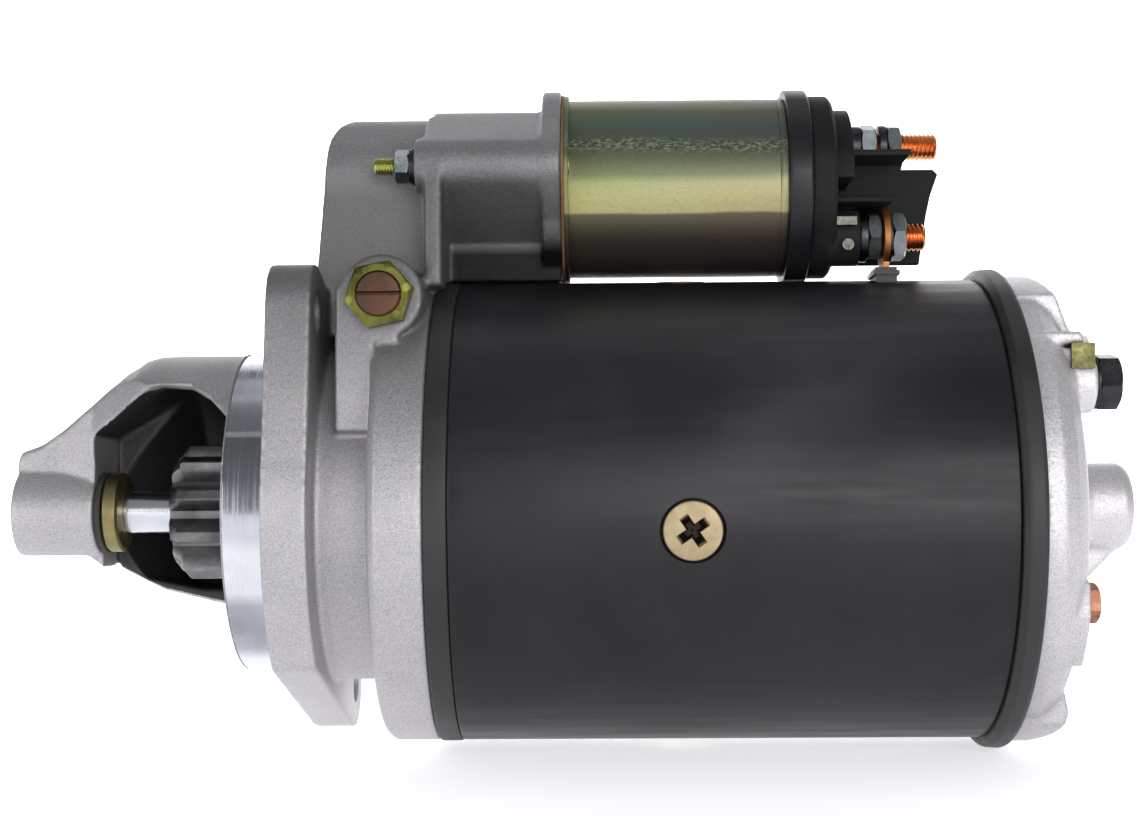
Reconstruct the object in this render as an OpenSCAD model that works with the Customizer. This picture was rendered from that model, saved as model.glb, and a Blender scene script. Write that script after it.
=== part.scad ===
// Pre-engaged starter motor with its solenoid. Millimetres. The origin is on the armature
// axis in the plane of the mounting flange's face. -X is the pinion end, +X the commutator
// end, and +Z the side that carries the solenoid.

/* [Yoke] */
// Outer radius of the steel yoke
yoke_r = 64.2; // [63.5:0.1:64.5]
// Inner radius of the yoke
yoke_bore_r = 57.5; // [57:0.1:58]
// Angle that the four poles are turned from the horizontal
pole_angle = 4.3; // [0:0.1:8]
// Outer radius of the rubber ring at the commutator end
rear_ring_r = 67.2; // [65:0.1:68]

/* [Drive end] */
// Radius of the machined spigot that locates the motor
pilot_r = 44.45; // [44.2:0.05:45]
// Length of the spigot
pilot_len = 12.7; // [11:0.1:13]
// Thickness of the mounting flange
flange_t = 12; // [10:0.5:14]
// Radius of the mounting holes
mount_hole_r = 5.25; // [4.5:0.05:6]
// Sideways distance of each mounting hole from the axis
mount_hole_y = 37.7; // [36:0.1:39]
// Upward distance of each mounting hole from the axis
mount_hole_z = 52.9; // [52:0.1:54]
// Radius of the nose that holds the front bush
nose_r = 12.3; // [12:0.1:13]

/* [Shaft and drive] */
// Radius of the shaft's journals
shaft_r = 6; // [5.9:0.05:6]
// Number of pinion teeth
pinion_teeth = 10; // [9:1:11]
// Outer radius of the pinion
pinion_r = 19; // [18:0.1:19.2]
// Face of the pinion when it is out of mesh
pinion_x = -33; // [-34:0.5:-32]
// Radius of the armature stack
armature_r = 37.4; // [36:0.1:37.5]
// Angle that the pinion's teeth are turned from the horizontal
pinion_phase = 21.5; // [0:0.5:35.5]

/* [Solenoid] */
// Height of the solenoid's axis above the armature's axis
solenoid_z = 91.5; // [91.3:0.1:91.7]
// Outer radius of the solenoid can
can_r = 25.2; // [25:0.1:25.4]
// Radius of the plunger
plunger_r = 9.7; // [9.5:0.1:9.8]
// Sideways distance of the two solenoid studs
solenoid_stud_y = 27; // [26.5:0.1:27.5]

/* [Fasteners] */
// Radius that the through bolts lie on
bolt_circle_r = 50; // [49.5:0.1:50.5]
// Angle of the first through bolt, measured from +Y towards +Z
bolt_angle = 139.3; // [137:0.1:141]
// Radius of the main terminals' threads
stud_r = 4; // [3.5:0.1:4]

/* [Hidden] */
$fn = 96;
gap = 0.05;      // running clearance of a shaft in its bush
front_x = 42.1;  // rim's rear face, where the yoke begins
band_w = 6;      // width of each band at the ends of the yoke
rear_x = 196.9;  // where the rear cover begins
spigot_r = 61.5; // radius of the yoke's turned ends
core_x0 = 72;
core_x1 = 148;
comm_x0 = 167;
comm_x1 = 190;
comm_r = 21;
brush_x = 179;   // middle of the brushes along the shaft
pivot_x = 29.8;
pivot_z = 55.7;
pin_x = 25.4;    // plunger pin when the solenoid is off
seat_x = 76.4;   // face of the casting that the solenoid is bolted to
can_x1 = 138.7;
ring_x1 = 145.2;
nose_x0 = -78.2; // front of the nose
nose_x1 = -55.2; // end of the nose's barrel, inside the window
ear_r = 12.4;    // radius of the flange's two ears
flange_r = 57;
shank_r = stud_r - 0.5; // plain part of a main terminal
upper_stud = [10, 105];
lower_stud = [-10, 75.6];
cover_screw_at = [-45, -24.8];
pole_x = 109.4;
poles = [0, 1, 2, 3];
mount_sides = [-1, 1];
nose_x = -pilot_len; // where the snout meets the spigot
cast = [0.66, 0.66, 0.68];
steel = [0.6, 0.61, 0.63];
black = [0.09, 0.09, 0.1];
zinc = [0.62, 0.58, 0.3];
copper = [0.78, 0.42, 0.22];

// ---- helpers ----

// Cylinder along X from x0 to x1
module rod(x0, x1, r) {
    translate([x0, 0, 0]) rotate([0, 90, 0]) cylinder(h = x1 - x0, r = r);
}

// Tube along X
module tube(x0, x1, r_out, r_in) {
    difference() {
        rod(x0, x1, r_out);
        rod(x0 - 1, x1 + 1, r_in);
    }
}

// Solid of revolution about X; each point is [x, r]
module turned(profile) {
    rotate([0, 90, 0]) rotate_extrude() polygon([for (p = profile) [p[1], p[0]]]);
}

// Flat shape in Y and Z, given thickness along X
module plate(x0, x1) {
    translate([x0, 0, 0]) rotate([90, 0, 90]) linear_extrude(x1 - x0) children();
}

// Flat shape in X and Z, given width along Y
module slab(y0, y1) {
    translate([0, y1, 0]) rotate([90, 0, 0]) linear_extrude(y1 - y0) children();
}

// Hexagon nut or head along X; af is the distance across its flats
module hex(x0, x1, af) {
    translate([x0, 0, 0]) rotate([0, 90, 0]) cylinder(h = x1 - x0, r = af / sqrt(3), $fn = 6);
}

// Box from one corner to the other
module block(a, b) {
    translate(a) cube([b[0] - a[0], b[1] - a[1], b[2] - a[2]]);
}

// Moves children to a place in Y and Z
module at(p) {
    translate([0, p[0], p[1]]) children();
}

// Moves children to the solenoid's axis
module on_solenoid() {
    translate([0, 0, solenoid_z]) children();
}

// Turns children from the near side (-Y) to pole number k
module at_pole(k) {
    rotate([pole_angle + 90 * k, 0, 0]) children();
}

// Pie slice in the YZ plane, centred on -Y, reaching half_angle each way
module slice(x0, x1, half_angle) {
    plate(x0, x1) polygon([[0, 0], [-80, -80 * tan(half_angle)], [-80, 80 * tan(half_angle)]]);
}

// Coil spring along Z from 0 to h, of mean radius r and wire radius w
module coil(h, r, w, turns) {
    sides = 6;
    steps = 10 * turns;
    lead = (h - 2 * w) / turns / 360;
    points = [for (i = [0:steps], k = [0:sides - 1])
        let (a = 360 * turns * i / steps, b = 360 * k / sides)
        [(r + w * cos(b)) * cos(a), (r + w * cos(b)) * sin(a), w + lead * a + w * sin(b)]];
    walls = [for (i = [0:steps - 1], k = [0:sides - 1])
        let (n = (k + 1) % sides)
        [i * sides + k, i * sides + n, (i + 1) * sides + n, (i + 1) * sides + k]];
    first = [for (k = [sides - 1:-1:0]) k];
    last = [for (k = [0:sides - 1]) steps * sides + k];
    polyhedron(points, concat(walls, [first, last]), convexity = 8);
}

// ---- drive end ----

// Ear of radius r at p, with straight sides that meet a circle of radius r0 at the origin
module ear(p, r, r0) {
    a = atan2(p[1], p[0]);
    b = acos((r0 - r) / norm(p));
    translate(p) circle(r = r, $fn = 48);
    polygon([r0 * [cos(a + b), sin(a + b)], p + r * [cos(a + b), sin(a + b)],
        p + r * [cos(a - b), sin(a - b)], r0 * [cos(a - b), sin(a - b)], [0, 0]]);
}

// Place of a mounting hole in Y and Z; s is -1 for the near upper one and 1 for the far lower one
function mount_hole(s) = [s * mount_hole_y, -s * mount_hole_z];

// Outline of the mounting flange in Y and Z: a disc with two ears, whose straight sides touch
// the ears
module flange_outline() {
    side_angle = 72.2;
    side_gap = 0.5;                  // the straight sides clear the ears' rounds by this much
    blend_r = flange_r - 0.3;        // the ears' sides run into the disc just inside its edge
    side = ear_r + side_gap - mount_hole_y * cos(side_angle) + mount_hole_z * sin(side_angle);
    intersection() {
        union() {
            circle(r = flange_r);
            for (s = mount_sides) ear(mount_hole(s), ear_r, blend_r);
        }
        rotate(side_angle) square([2 * side, 200], center = true);
    }
}

// Top view of the snout's shell above the nose: narrow at the nose, and cut back on the near
// side along the window
module snout_top() {
    polygon([[nose_x0, -5.5], [-66, -6], [-56, -9], [-48, -15], [-42, -22], [-32, -30],
        [-22, -36], [-14, -38], [nose_x, -44], [nose_x, 44], [-40, 42], [-52, 28], [-64, 14],
        [nose_x0, 7]]);
}

// Side view of the window that the pinion is seen through
module window_side() {
    polygon([[nose_x1, 12.3], [-55.4, 21.6], [-36.5, 32.8], [-32, 33.8], [-24, 33.2],
        [-18, 29.8], [-13, 25], [-12, 25], [-12, -45], [nose_x1, -45]]);
}

// Side view of the far wall's lower half, inside the snout
module far_wall_side() {
    polygon([[-64, 5], [-64, -9], [-55.4, -15.6], [-41.2, -22.8], [-24.7, -26.8], [nose_x, -27],
        [nose_x, 14], [-64, 14]]);
}

// Side view of the lever tower
module tower_side() {
    polygon([[flange_t, 48], [flange_t, 67], [8.9, 67], [10, 79.6], [10.8, 89.5], [11.2, 98],
        [11.9, 103.5], [13.8, 108], [17.4, 111.6], [41, 111.6], [44.6, 92], [44.6, 48]]);
}

// The snout: the nose that holds the front bush, and the shell that carries it
module drive_end_nose() {
    color(cast) difference() {
        union() {
            rod(nose_x0, nose_x1, nose_r);
            intersection() {
                turned([[nose_x0, 0], [nose_x0, 15.5], [-77.4, 17.6], [-74.3, 18.6], [-71.4, 19.7],
                    [-65.1, 24], [-56.5, 31.1], [-50.8, 35.9], [-45.4, 40.2], [-40.8, 42.6],
                    [-36.5, 43.3], [-33, 43.4], [nose_x, 43.4], [nose_x, 0]]);
                translate([0, 0, 9]) linear_extrude(50) snout_top();
            }
            intersection() {
                turned([[-64, 0], [-64, 12.3], [-56, 20], [-40, 37], [-33, 43.4],
                    [nose_x, 43.4], [nose_x, 0]]);
                slab(0, 60) far_wall_side();
            }
        }
        intersection() {
            turned([[nose_x1, 0], [nose_x1, 15.5], [-40, 31], [-33, 38.5], [-12, 38.5],
                [-12, 0]]);
            slab(-60, 60) polygon([[-60, -19], [-47, -19], [-30, -22.4], [-12, -22.8], [-12, 60],
                [-60, 60]]);
        }
        slab(-60, 14.5) window_side();
        rod(-74, -50, 9);
    }
}

// The machined spigot and the mounting flange, with the foot of the lever tower
module drive_end_flange() {
    color(cast) difference() {
        union() {
            turned([[nose_x, 31], [nose_x, pilot_r - 0.8], [nose_x + 0.8, pilot_r], [0, pilot_r],
                [0, 31]]);
            plate(0, flange_t) flange_outline();
            slab(-20, 20) polygon([[8.2, 50], [8.9, 67], [flange_t, 67], [flange_t, 50]]);
        }
        rod(nose_x - 1, 8, 31);
        rod(5, flange_t + 1, 41);
        for (s = mount_sides) at(mount_hole(s)) rod(-1, flange_t + 1, mount_hole_r);
    }
}

module solenoid_mount() {
    on_solenoid() {
        rod(40, 71, 22.2);
        plate(71, seat_x) {
            circle(r = 27.7);
            for (s = [-1, 1]) ear([s * solenoid_stud_y, 2], 7.5, 27);
        }
        plate(39, 71) for (s = [-1, 1]) ear([s * solenoid_stud_y, 2], 7.4, 22.2);
        for (s = [-1, 1]) at([s * solenoid_stud_y, 2]) rod(37, 40, 7.4);
    }
    // web across the front of the seat
    block([39.7, -34.4, 60], [44.6, 34.4, solenoid_z + 2]);
    // foot between the seat and the yoke
    block([44, -14, 60], [seat_x, 14, 73]);
}

// The rest of the casting: neck, rim, lever tower and solenoid seat
module drive_end_housing() {
    color(cast) difference() {
        union() {
            rod(flange_t, 28, 47.4);
            turned([[27.6, 30], [27.6, yoke_r - 2.2], [29.8, yoke_r], [front_x, yoke_r],
                [front_x, 30]]);
            intersection() {
                slab(-20, 20) tower_side();
                plate(0, 60) union() {
                    translate([0, 91.6]) circle(r = 20);
                    translate([-20, 30]) square([40, 61.6]);
                }
            }
            // pivot's boss, with a pillar down to the neck
            block([18, -48, 44], [34.4, -12, 58]);
            cross(-48, -12, 11);
            block([17.8, -48, 20.5], [28, -12, 46]);
            block([20, 12, 47], [36, 26, 64]);
            solenoid_mount();
        }
        // the drive's space, and the yoke's
        rod(flange_t - 1, front_x + 1, 41);
        rod(36, front_x + 1, yoke_bore_r);
        rod(front_x - 0.1, front_x + 1, spigot_r + 0.1);
        rod(front_x, 100, yoke_r + 0.5);
        // slot for the lever, from the drive's space to the plunger
        block([13, -8.5, 28], [39.8, 8.5, 104]);
        block([13, -23, -10], [39, 23, 38]);
        on_solenoid() {
            rod(36, 47, 12.5);
            rod(45, seat_x + 1, 17);
        }
        // pivot pin: threaded near side, plain bore through both walls
        cross(-60, -24, 6.05);
        cross(-30, 20, 5.05);
        for (s = [-1, 1]) at([s * solenoid_stud_y, solenoid_z + 2]) rod(30, 80, 2.6);
        for (a = [bolt_angle, bolt_angle + 180]) rotate([a, 0, 0]) at([bolt_circle_r, 0])
            rod(29, 37, 3.05);
    }
}

module nose_bush() {
    color([0.7, 0.5, 0.28]) tube(-74, -56, 9, shaft_r + gap);
}

module thrust_washer() {
    color(black) tube(-55.1, -53.4, 11.4, shaft_r + 0.3);
}

module intermediate_bracket() {
    color(cast) difference() {
        union() {
            rod(40.5, 45, yoke_bore_r - 0.1);
            rod(44, 54, 16);
        }
        rod(40, 55, 11);
        for (a = [bolt_angle, bolt_angle + 180]) rotate([a, 0, 0]) at([bolt_circle_r, 0])
            rod(36, 46, 3.6);
    }
}

module centre_bush() {
    color([0.7, 0.5, 0.28]) tube(41.5, 54, 11, 8.5 + gap);
}

// ---- yoke and field ----

module front_seal_ring() {
    color(black) tube(front_x, front_x + band_w, yoke_r + 0.3, spigot_r);
}

module yoke() {
    color([0.05, 0.05, 0.06]) difference() {
        union() {
            rod(front_x, rear_x, spigot_r);
            rod(front_x + band_w, rear_x - band_w, yoke_r);
        }
        rod(front_x - 1, rear_x + 1, yoke_bore_r);
        for (k = poles) at_pole(k) translate([pole_x, 0, 0]) rotate([90, 0, 0]) {
            cylinder(h = 80, r = 5.2);
            translate([0, 0, yoke_r - 2.4]) cylinder(h = 5, r = 7.7);
        }
        block([163.2, lower_stud[0] - 5.6, 50], [169.2, lower_stud[0] + 5.6, 70]);
    }
}

module pole_shoes() {
    color(steel) for (k = poles) at_pole(k) difference() {
        union() {
            intersection() {
                tube(74, 146, yoke_bore_r, 38.2);
                block([74, -60, -14], [146, -30, 14]);
            }
            intersection() {
                tube(70, 150, 42.6, 38.2);
                slice(70, 150, 33);
            }
        }
        translate([pole_x, 0, 0]) rotate([90, 0, 0]) cylinder(h = 80, r = 5.05);
    }
}

module field_coils() {
    color(copper) for (k = poles) at_pole(k) difference() {
        intersection() {
            tube(60, 160, 56.8, 43);
            slice(60, 160, 39);
        }
        block([73, -60, -15], [147, -30, 15]);
    }
}

// Countersunk screw with a cross recess, pointing inwards
module pole_screws() {
    color(zinc) for (k = poles) at_pole(k) translate([pole_x, 0, 0]) rotate([90, 0, 0])
        difference() {
            union() {
                translate([0, 0, 46]) cylinder(h = yoke_r - 48.4, r = 5);
                translate([0, 0, yoke_r - 2.4]) cylinder(h = 2.4, r = 7.5);
            }
            for (a = [20, 110]) rotate([0, 0, a]) translate([-4, -1, yoke_r - 2]) cube([8, 2, 4]);
        }
}

// ---- rear end ----

module rear_seal_ring() {
    color(black) tube(rear_x - band_w, rear_x, rear_ring_r, spigot_r);
}

// Side view of the block at the top of the rear cover
module cover_block_side() {
    polygon([[rear_x, 44], [rear_x, 65], [205.6, 65], [211.4, 48], [213, 45.4], [213, 44]]);
}

// Space for the clip on the rear cover's pad, larger than the clip by c all round
module clip_space(c, reach) {
    block([208.4 - c, -46.8 - c, 35.6 - c], [214.4 + reach, -45.8 + c, 42.2 + c]);
    block([208.4 - c, -46.8 - c, 41.1 - c], [214.4 + reach, -35 + c, 42.2 + c]);
    block([213.5 - c, -44 - c, 36.8 - c], [214.4 + reach, -35 + c, 42.2 + c]);
}

module rear_cover() {
    color(cast) difference() {
        union() {
            turned([[rear_x, 0], [rear_x, 63.6], [202, 63.6], [206, 61], [209, 57], [211, 51],
                [212, 45], [213.5, 27], [215, 17], [219, 13.5], [223, 12.3], [232.5, 12.3],
                [234.5, 10.8], [235.3, 8], [235.5, 0]]);
            intersection() {
                slab(-32, 32) cover_block_side();
                turned([[rear_x, 0], [rear_x, 65], [208, 65], [214.5, 57], [222, 45], [222, 0]]);
            }
            // ledge under the block
            intersection() {
                block([rear_x, -46, 42.3], [216, 32, 45.4]);
                turned([[rear_x, 0], [rear_x, 64.8], [211, 64.8], [213, 60], [216.5, 56],
                    [216.5, 0]]);
            }
            intersection() {
                slab(-30, 30) polygon([[rear_x, -46], [206.5, -46], [209.6, -50], [210.2, -55],
                    [208.4, -60.5], [204, -64.5], [rear_x, -65.2]]);
                rod(rear_x, 222, 65.2);
            }
            for (a = [bolt_angle, bolt_angle + 180]) rotate([a, 0, 0]) at([bolt_circle_r, 0])
                rod(200, 215.6, 8.2);
            // pad that the clip grips, and the lug of the small screw
            intersection() {
                block([200, -45.2, 32], [214.2, -33, 41]);
                rod(rear_x, 222, 61.5);
            }
            intersection() {
                block([200, -54, -41], [210, -34, -19]);
                rod(rear_x, 222, 61);
            }
            at(cover_screw_at) rod(200, 210, 5.8);
            slab(-3, 3) polygon([[210, -2], [231.9, -2], [231.9, -11.8], [223, -20.6], [212, -27],
                [210, -27]]);
        }
        turned([[rear_x - 1, 0], [rear_x - 1, yoke_bore_r], [202, yoke_bore_r], [205, 54],
            [208, 47], [209, 30], [211, 13], [212, 9], [212, 0]]);
        rod(205, 232, 8.6);
        for (a = [bolt_angle, bolt_angle + 180]) rotate([a, 0, 0]) at([bolt_circle_r, 0])
            rod(190, 222, 3.2);
        at(cover_screw_at) {
            rod(190, 215, 2.6);
            rod(210, 222, 6.4);
        }
        clip_space(0.1, 8);
    }
}

module rear_bush() {
    color([0.7, 0.5, 0.28]) tube(213, 231.5, 8.6, shaft_r + gap);
}

module through_bolts() {
    color([0.16, 0.16, 0.17]) for (a = [bolt_angle, bolt_angle + 180])
        rotate([a, 0, 0]) at([bolt_circle_r, 0]) {
            rod(30, 216, 3);
            rod(215.6, 216.6, 7.2);
            hex(216.6, 222.2, 13.5);
        }
}

module cover_screw() {
    color(copper) at(cover_screw_at) {
        rod(191, 211, 2.5);
        hex(210.1, 213.9, 9.2);
    }
}

module earth_clip() {
    color(zinc) union() clip_space(0, 0);
}

// ---- brush gear ----

module brush_holder() {
    color([0.62, 0.6, 0.5]) difference() {
        union() {
            tube(190.8, 193, 54.5, 23);
            for (k = poles) at_pole(k) block([169, -46, -6.6], [191, -23.5, 6.6]);
            at(cover_screw_at) rod(192, 202, 4.6);
        }
        at(cover_screw_at) rod(190, 203, 2.55);
        for (k = poles) at_pole(k) block([170.8, -44.4, -4.8], [187.2, -23, 4.8]);
        for (a = [bolt_angle, bolt_angle + 180]) rotate([a, 0, 0]) at([bolt_circle_r, 0])
            rod(190, 194, 3.4);
    }
}

module brush(k) {
    color([0.2, 0.2, 0.21]) at_pole(k) difference() {
        block([171, -36, -4.6], [187, -20.2, 4.6]);
        rod(170, 188, comm_r + 0.1);
    }
}

module brush_springs() {
    color(steel) for (k = poles) at_pole(k) translate([brush_x, -36.1, 0]) rotate([90, 0, 0])
        coil(8.2, 3.4, 0.5, 4);
}

// ---- motor lead ----

module motor_lead() {
    color(copper) difference() {
        union() {
            at(lower_stud) rod(165.6, 167.2, 8.4);
            block([165.6, lower_stud[0] - 4, 52.5], [167.2, lower_stud[0] + 4, 74]);
            block([160.1, lower_stud[0] - 4, 52.5], [167.2, lower_stud[0] + 4, 54.1]);
        }
        at(lower_stud) rod(165, 169, shank_r);
    }
}

module lead_grommet() {
    color(black) difference() {
        union() {
            block([163.3, lower_stud[0] - 5.5, 58.4], [169.1, lower_stud[0] + 5.5, 66.6]);
            block([162.6, lower_stud[0] - 6.2, 64.4], [169.8, lower_stud[0] + 6.2, 65.6]);
        }
        block([165.5, lower_stud[0] - 4.1, 50], [167.3, lower_stud[0] + 4.1, 75]);
    }
}

// ---- solenoid ----

// Flange outline shared by the solenoid and its gasket
module solenoid_flange() {
    circle(r = 26.6);
    for (s = [-1, 1]) ear([s * solenoid_stud_y, 2], 6.6, 26);
}

module solenoid_can() {
    color([0.6, 0.62, 0.32]) on_solenoid() difference() {
        union() {
            plate(seat_x + 0.7, seat_x + 2) solenoid_flange();
            rod(seat_x + 1, can_x1, can_r);
        }
        rod(81, can_x1 + 1, can_r - 2.2);
        rod(seat_x, 82, plunger_r + 0.5);
        for (s = [-1, 1]) at([s * solenoid_stud_y, 2]) rod(seat_x, 80, 2.5);
    }
}

module solenoid_gasket() {
    color([0.6, 0.33, 0.12]) on_solenoid() difference() {
        plate(seat_x, seat_x + 0.7) solenoid_flange();
        rod(seat_x - 1, 82, 17);
        for (s = [-1, 1]) at([s * solenoid_stud_y, 2]) rod(seat_x - 1, 80, 2.7);
    }
}

module solenoid_bobbin() {
    color([0.85, 0.82, 0.72]) on_solenoid() difference() {
        union() {
            rod(81.2, 134, 11.4);
            rod(81.2, 83, 22.6);
            rod(132.2, 134, 22.6);
        }
        rod(80, 135, plunger_r + 0.3);
    }
}

module solenoid_winding() {
    color(copper) on_solenoid() tube(83.1, 132.1, 20.5, 11.6);
}

module solenoid_core() {
    color(steel) on_solenoid() difference() {
        union() {
            rod(134.1, can_x1, can_r - 2.3);
            rod(112, 135, plunger_r);
        }
        rod(111, can_x1 + 1, 3.2);
    }
}

module solenoid_end_ring() {
    color(black) difference() {
        on_solenoid() tube(can_x1, ring_x1, 27.6, 22.4);
        rod(can_x1 - 1, ring_x1 + 1, yoke_r + 0.3);
    }
}

module terminal_cap() {
    color(black) difference() {
        union() {
            on_solenoid() {
                rod(can_x1 + 0.1, ring_x1, 22.3);
                turned([[ring_x1, 0], [ring_x1, 25.9], [150.9, 25.9], [152, 24.8], [152, 0]]);
                difference() {
                    rod(151, 157, 21.9);
                    block([149, -30, -30], [158, 30, -1]);
                }
            }
            // boss that the motor terminal comes through
            at(lower_stud) rod(150, 159, 8);
            // barrier between the two main terminals
            slab(-17, 0) polygon([[150, 97.4], [173, 97.4], [173.6, 99.2], [150, 99.2]]);
            slab(-19, 0) polygon([[150, 84.2], [167.8, 84.2], [168.3, 85.8], [150, 85.8]]);
            slab(-3, -1) polygon([[150, 85], [169, 85], [171.2, 90], [173.4, 98], [150, 98]]);
            slab(3, 5.2) polygon([[150, 69.6], [178.6, 69.6], [179.8, 77.5], [180.9, 84],
                [182.2, 89.7], [184.4, 95.8], [183, 97.2], [150, 97.2]]);
            block([150, -2, 91], [168, 4, 93]);
        }
        on_solenoid() {
            rod(can_x1 - 1, ring_x1 + 0.5, 20.6);
            rod(ring_x1 + 0.4, 148.7, 24.3);
        }
        for (p = [upper_stud, lower_stud]) at(p) rod(148, 160, shank_r);
    }
}

// Main terminal: a threaded stud with a contact head inside the cap. Its thread is free
// for a cable's eye from free_x to its end, x1.
module main_stud(p, free_x, x1) {
    at(p) {
        rod(146.5, 148.6, 5.6);
        rod(148, free_x, shank_r);
        rod(free_x, x1 - 0.8, stud_r);
        turned([[x1 - 0.8, 0], [x1 - 0.8, stud_r], [x1, stud_r - 0.8], [x1, 0]]);
    }
}

module battery_stud() {
    color(copper) main_stud(upper_stud, 174.4, 185);
}

module motor_stud() {
    color(copper) main_stud(lower_stud, 172, 177.6);
}

// Nut along X with a plain bore
module nut(x0, x1, af, r) {
    difference() {
        hex(x0, x1, af);
        rod(x0 - 1, x1 + 1, r);
    }
}

module terminal_nuts() {
    color(steel) {
        at(upper_stud) {
            nut(162.9, 167.3, 12, shank_r);
            nut(170.4, 174.4, 12, shank_r);
        }
        at(lower_stud) {
            nut(161.4, 165.2, 12, shank_r);
            nut(168.2, 172, 12, shank_r);
        }
    }
}

module terminal_washers() {
    color(steel) {
        at(upper_stud) {
            tube(157.1, 159.4, 6.8, shank_r);
            tube(159.6, 162.8, 6.2, shank_r);
            tube(168, 170.3, 6.4, shank_r);
        }
        at(lower_stud) {
            tube(159.1, 161.3, 7, shank_r);
            tube(167.3, 168.1, 7.2, shank_r);
        }
    }
}

module blade_terminal() {
    color(zinc) {
        block([152, -20.6, 77.6], [157.5, -18.2, 79.9]);
        translate([155.2, -19.4, 72.4]) rotate([-90, 0, 0]) cylinder(h = 1.35, r = 1.6);
    }
}

module solenoid_studs() {
    color(zinc) for (s = [-1, 1]) at([s * solenoid_stud_y, solenoid_z + 2])
        rod(25.8, seat_x + 2.2, 2.5);
}

module solenoid_nuts() {
    color(steel) for (s = [-1, 1]) at([s * solenoid_stud_y, solenoid_z + 2])
        nut(31.4, 35.4, 8, 2.5);
}

module solenoid_washers() {
    color(zinc) for (s = [-1, 1]) at([s * solenoid_stud_y, solenoid_z + 2])
        tube(35.4, 37, 5.2, 2.5);
}

// ---- lever pivot ----

// Cylinder along Y at the pivot from y0 to y1
module cross(y0, y1, r) {
    translate([pivot_x, y0, pivot_z]) rotate([-90, 0, 0]) cylinder(h = y1 - y0, r = r);
}

module pivot_pin() {
    color([0.55, 0.36, 0.26]) difference() {
        union() {
            cross(-53.4, -30, 5.95);
            cross(-31, 19, 5);
        }
        block([pivot_x - 8, -54, pivot_z - 0.7], [pivot_x + 8, -51.6, pivot_z + 0.7]);
    }
}

module pivot_lock_nut() {
    color(zinc) difference() {
        translate([pivot_x, -53, pivot_z]) rotate([-90, 42, 0])
            cylinder(h = 4.9, r = 15.8 / sqrt(3), $fn = 6);
        cross(-60, -40, 6);
    }
}

// ---- armature ----

module armature_shaft() {
    color(steel) turned([[-73, 0], [-73, 5.2], [-72.2, shaft_r], [13, shaft_r], [15, 8.5],
        [57, 8.5], [57.5, 10], [189, 10], [190, 8], [212, 8], [213, shaft_r], [230, shaft_r],
        [231, 5.4], [231, 0]]);
}

module armature_core() {
    color(steel) plate(core_x0, core_x1) difference() {
        circle(r = armature_r);
        circle(r = 10);
        for (a = [0:360 / 25:359]) rotate(a) translate([27, -1.6]) square([9.6, 3.2]);
        for (a = [0:360 / 25:359]) rotate(a) translate([36, -0.8]) square([3, 1.6]);
    }
}

module armature_winding() {
    color(copper) {
        turned([[58, 12], [58, 24], [61, 33], [65, 36], [71.9, 36], [71.9, 12]]);
        turned([[148.1, 12], [148.1, 36], [154, 36], [160, 30], [166.5, 21], [166.5, 12]]);
        for (a = [0:360 / 25:359]) rotate([a, 0, 0])
            block([core_x0 - 0.1, 27.2, -1.5], [core_x1 + 0.1, 35.6, 1.5]);
    }
}

module commutator() {
    color([0.75, 0.45, 0.28]) plate(comm_x0, comm_x1) difference() {
        circle(r = comm_r);
        circle(r = 10);
        for (a = [0:360 / 25:359]) rotate(a) translate([19.8, -0.4]) square([3, 0.8]);
    }
}

module stop_collar() {
    color(zinc) tube(-53.2, -48.2, 11.2, shaft_r);
}

// ---- drive ----

// Tooth outline of the pinion, narrowing towards the tip
module pinion_outline() {
    pitch = 360 / pinion_teeth;
    root_r = 13.6;
    circle(r = root_r);
    for (k = [0:pinion_teeth - 1]) rotate(k * pitch + pinion_phase)
        intersection() {
            circle(r = pinion_r);
            polygon([[root_r - 2, -4.4], [15, -3.7], [17.4, -2.6], [20, -1.3], [20, 1.3],
                [17.4, 2.6], [15, 3.7], [root_r - 2, 4.4]]);
        }
}

module pinion() {
    color(steel) difference() {
        union() {
            intersection() {
                plate(pinion_x, -13) pinion_outline();
                turned([[pinion_x, 0], [pinion_x, 15.6], [pinion_x + 3, 19.4], [-13, 19.4], [-13, 0]]);
            }
            rod(-14, 11, 11.6);
        }
        rod(-40, 12, shaft_r + gap);
    }
}

module clutch_body() {
    color([0.5, 0.5, 0.52]) difference() {
        union() {
            turned([[-10, 0], [-10, 23], [-9, 24], [14, 24], [16, 22], [16, 0]]);
            rod(15, 39, 11.6);
            rod(29.4, 32, 17);
            rod(37, 39.4, 17);
        }
        rod(-11, 11.4, 11.75);
        rod(-5.5, 9.5, 18.2);
        rod(10, 40, 8.6);
    }
}

module clutch_rollers() {
    color(steel) for (a = [0:72:359]) rotate([a, 0, 0]) at([14.95, 0]) rod(-5, 9, 3);
}

// Side view of the engaging lever, drawn upright with its pivot at the origin
module lever_side() {
    rotate(4.82) polygon([[-7, -3], [7, -3], [5.5, -25], [4, -59], [-4, -59], [-5.5, -25]]);
    rotate(7.1) polygon([[-7, 0], [7, 0], [6, 34], [5.6, 40.5], [-5.6, 40.5], [-6, 34]]);
    circle(r = 9);
}

// Front view of the lever: a blade above the pivot and a fork below it
module lever_front() {
    translate([-2.6, 0]) square([5.2, 42]);
    translate([-7.5, -9]) square([15, 18]);
    translate([-7.5, -24]) square([15, 18]);
    translate([-21, -31]) square([42, 8]);
    for (s = [-1, 1]) translate([s * 19.2 - 1.8, -59]) square([3.6, 32]);
}

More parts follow.
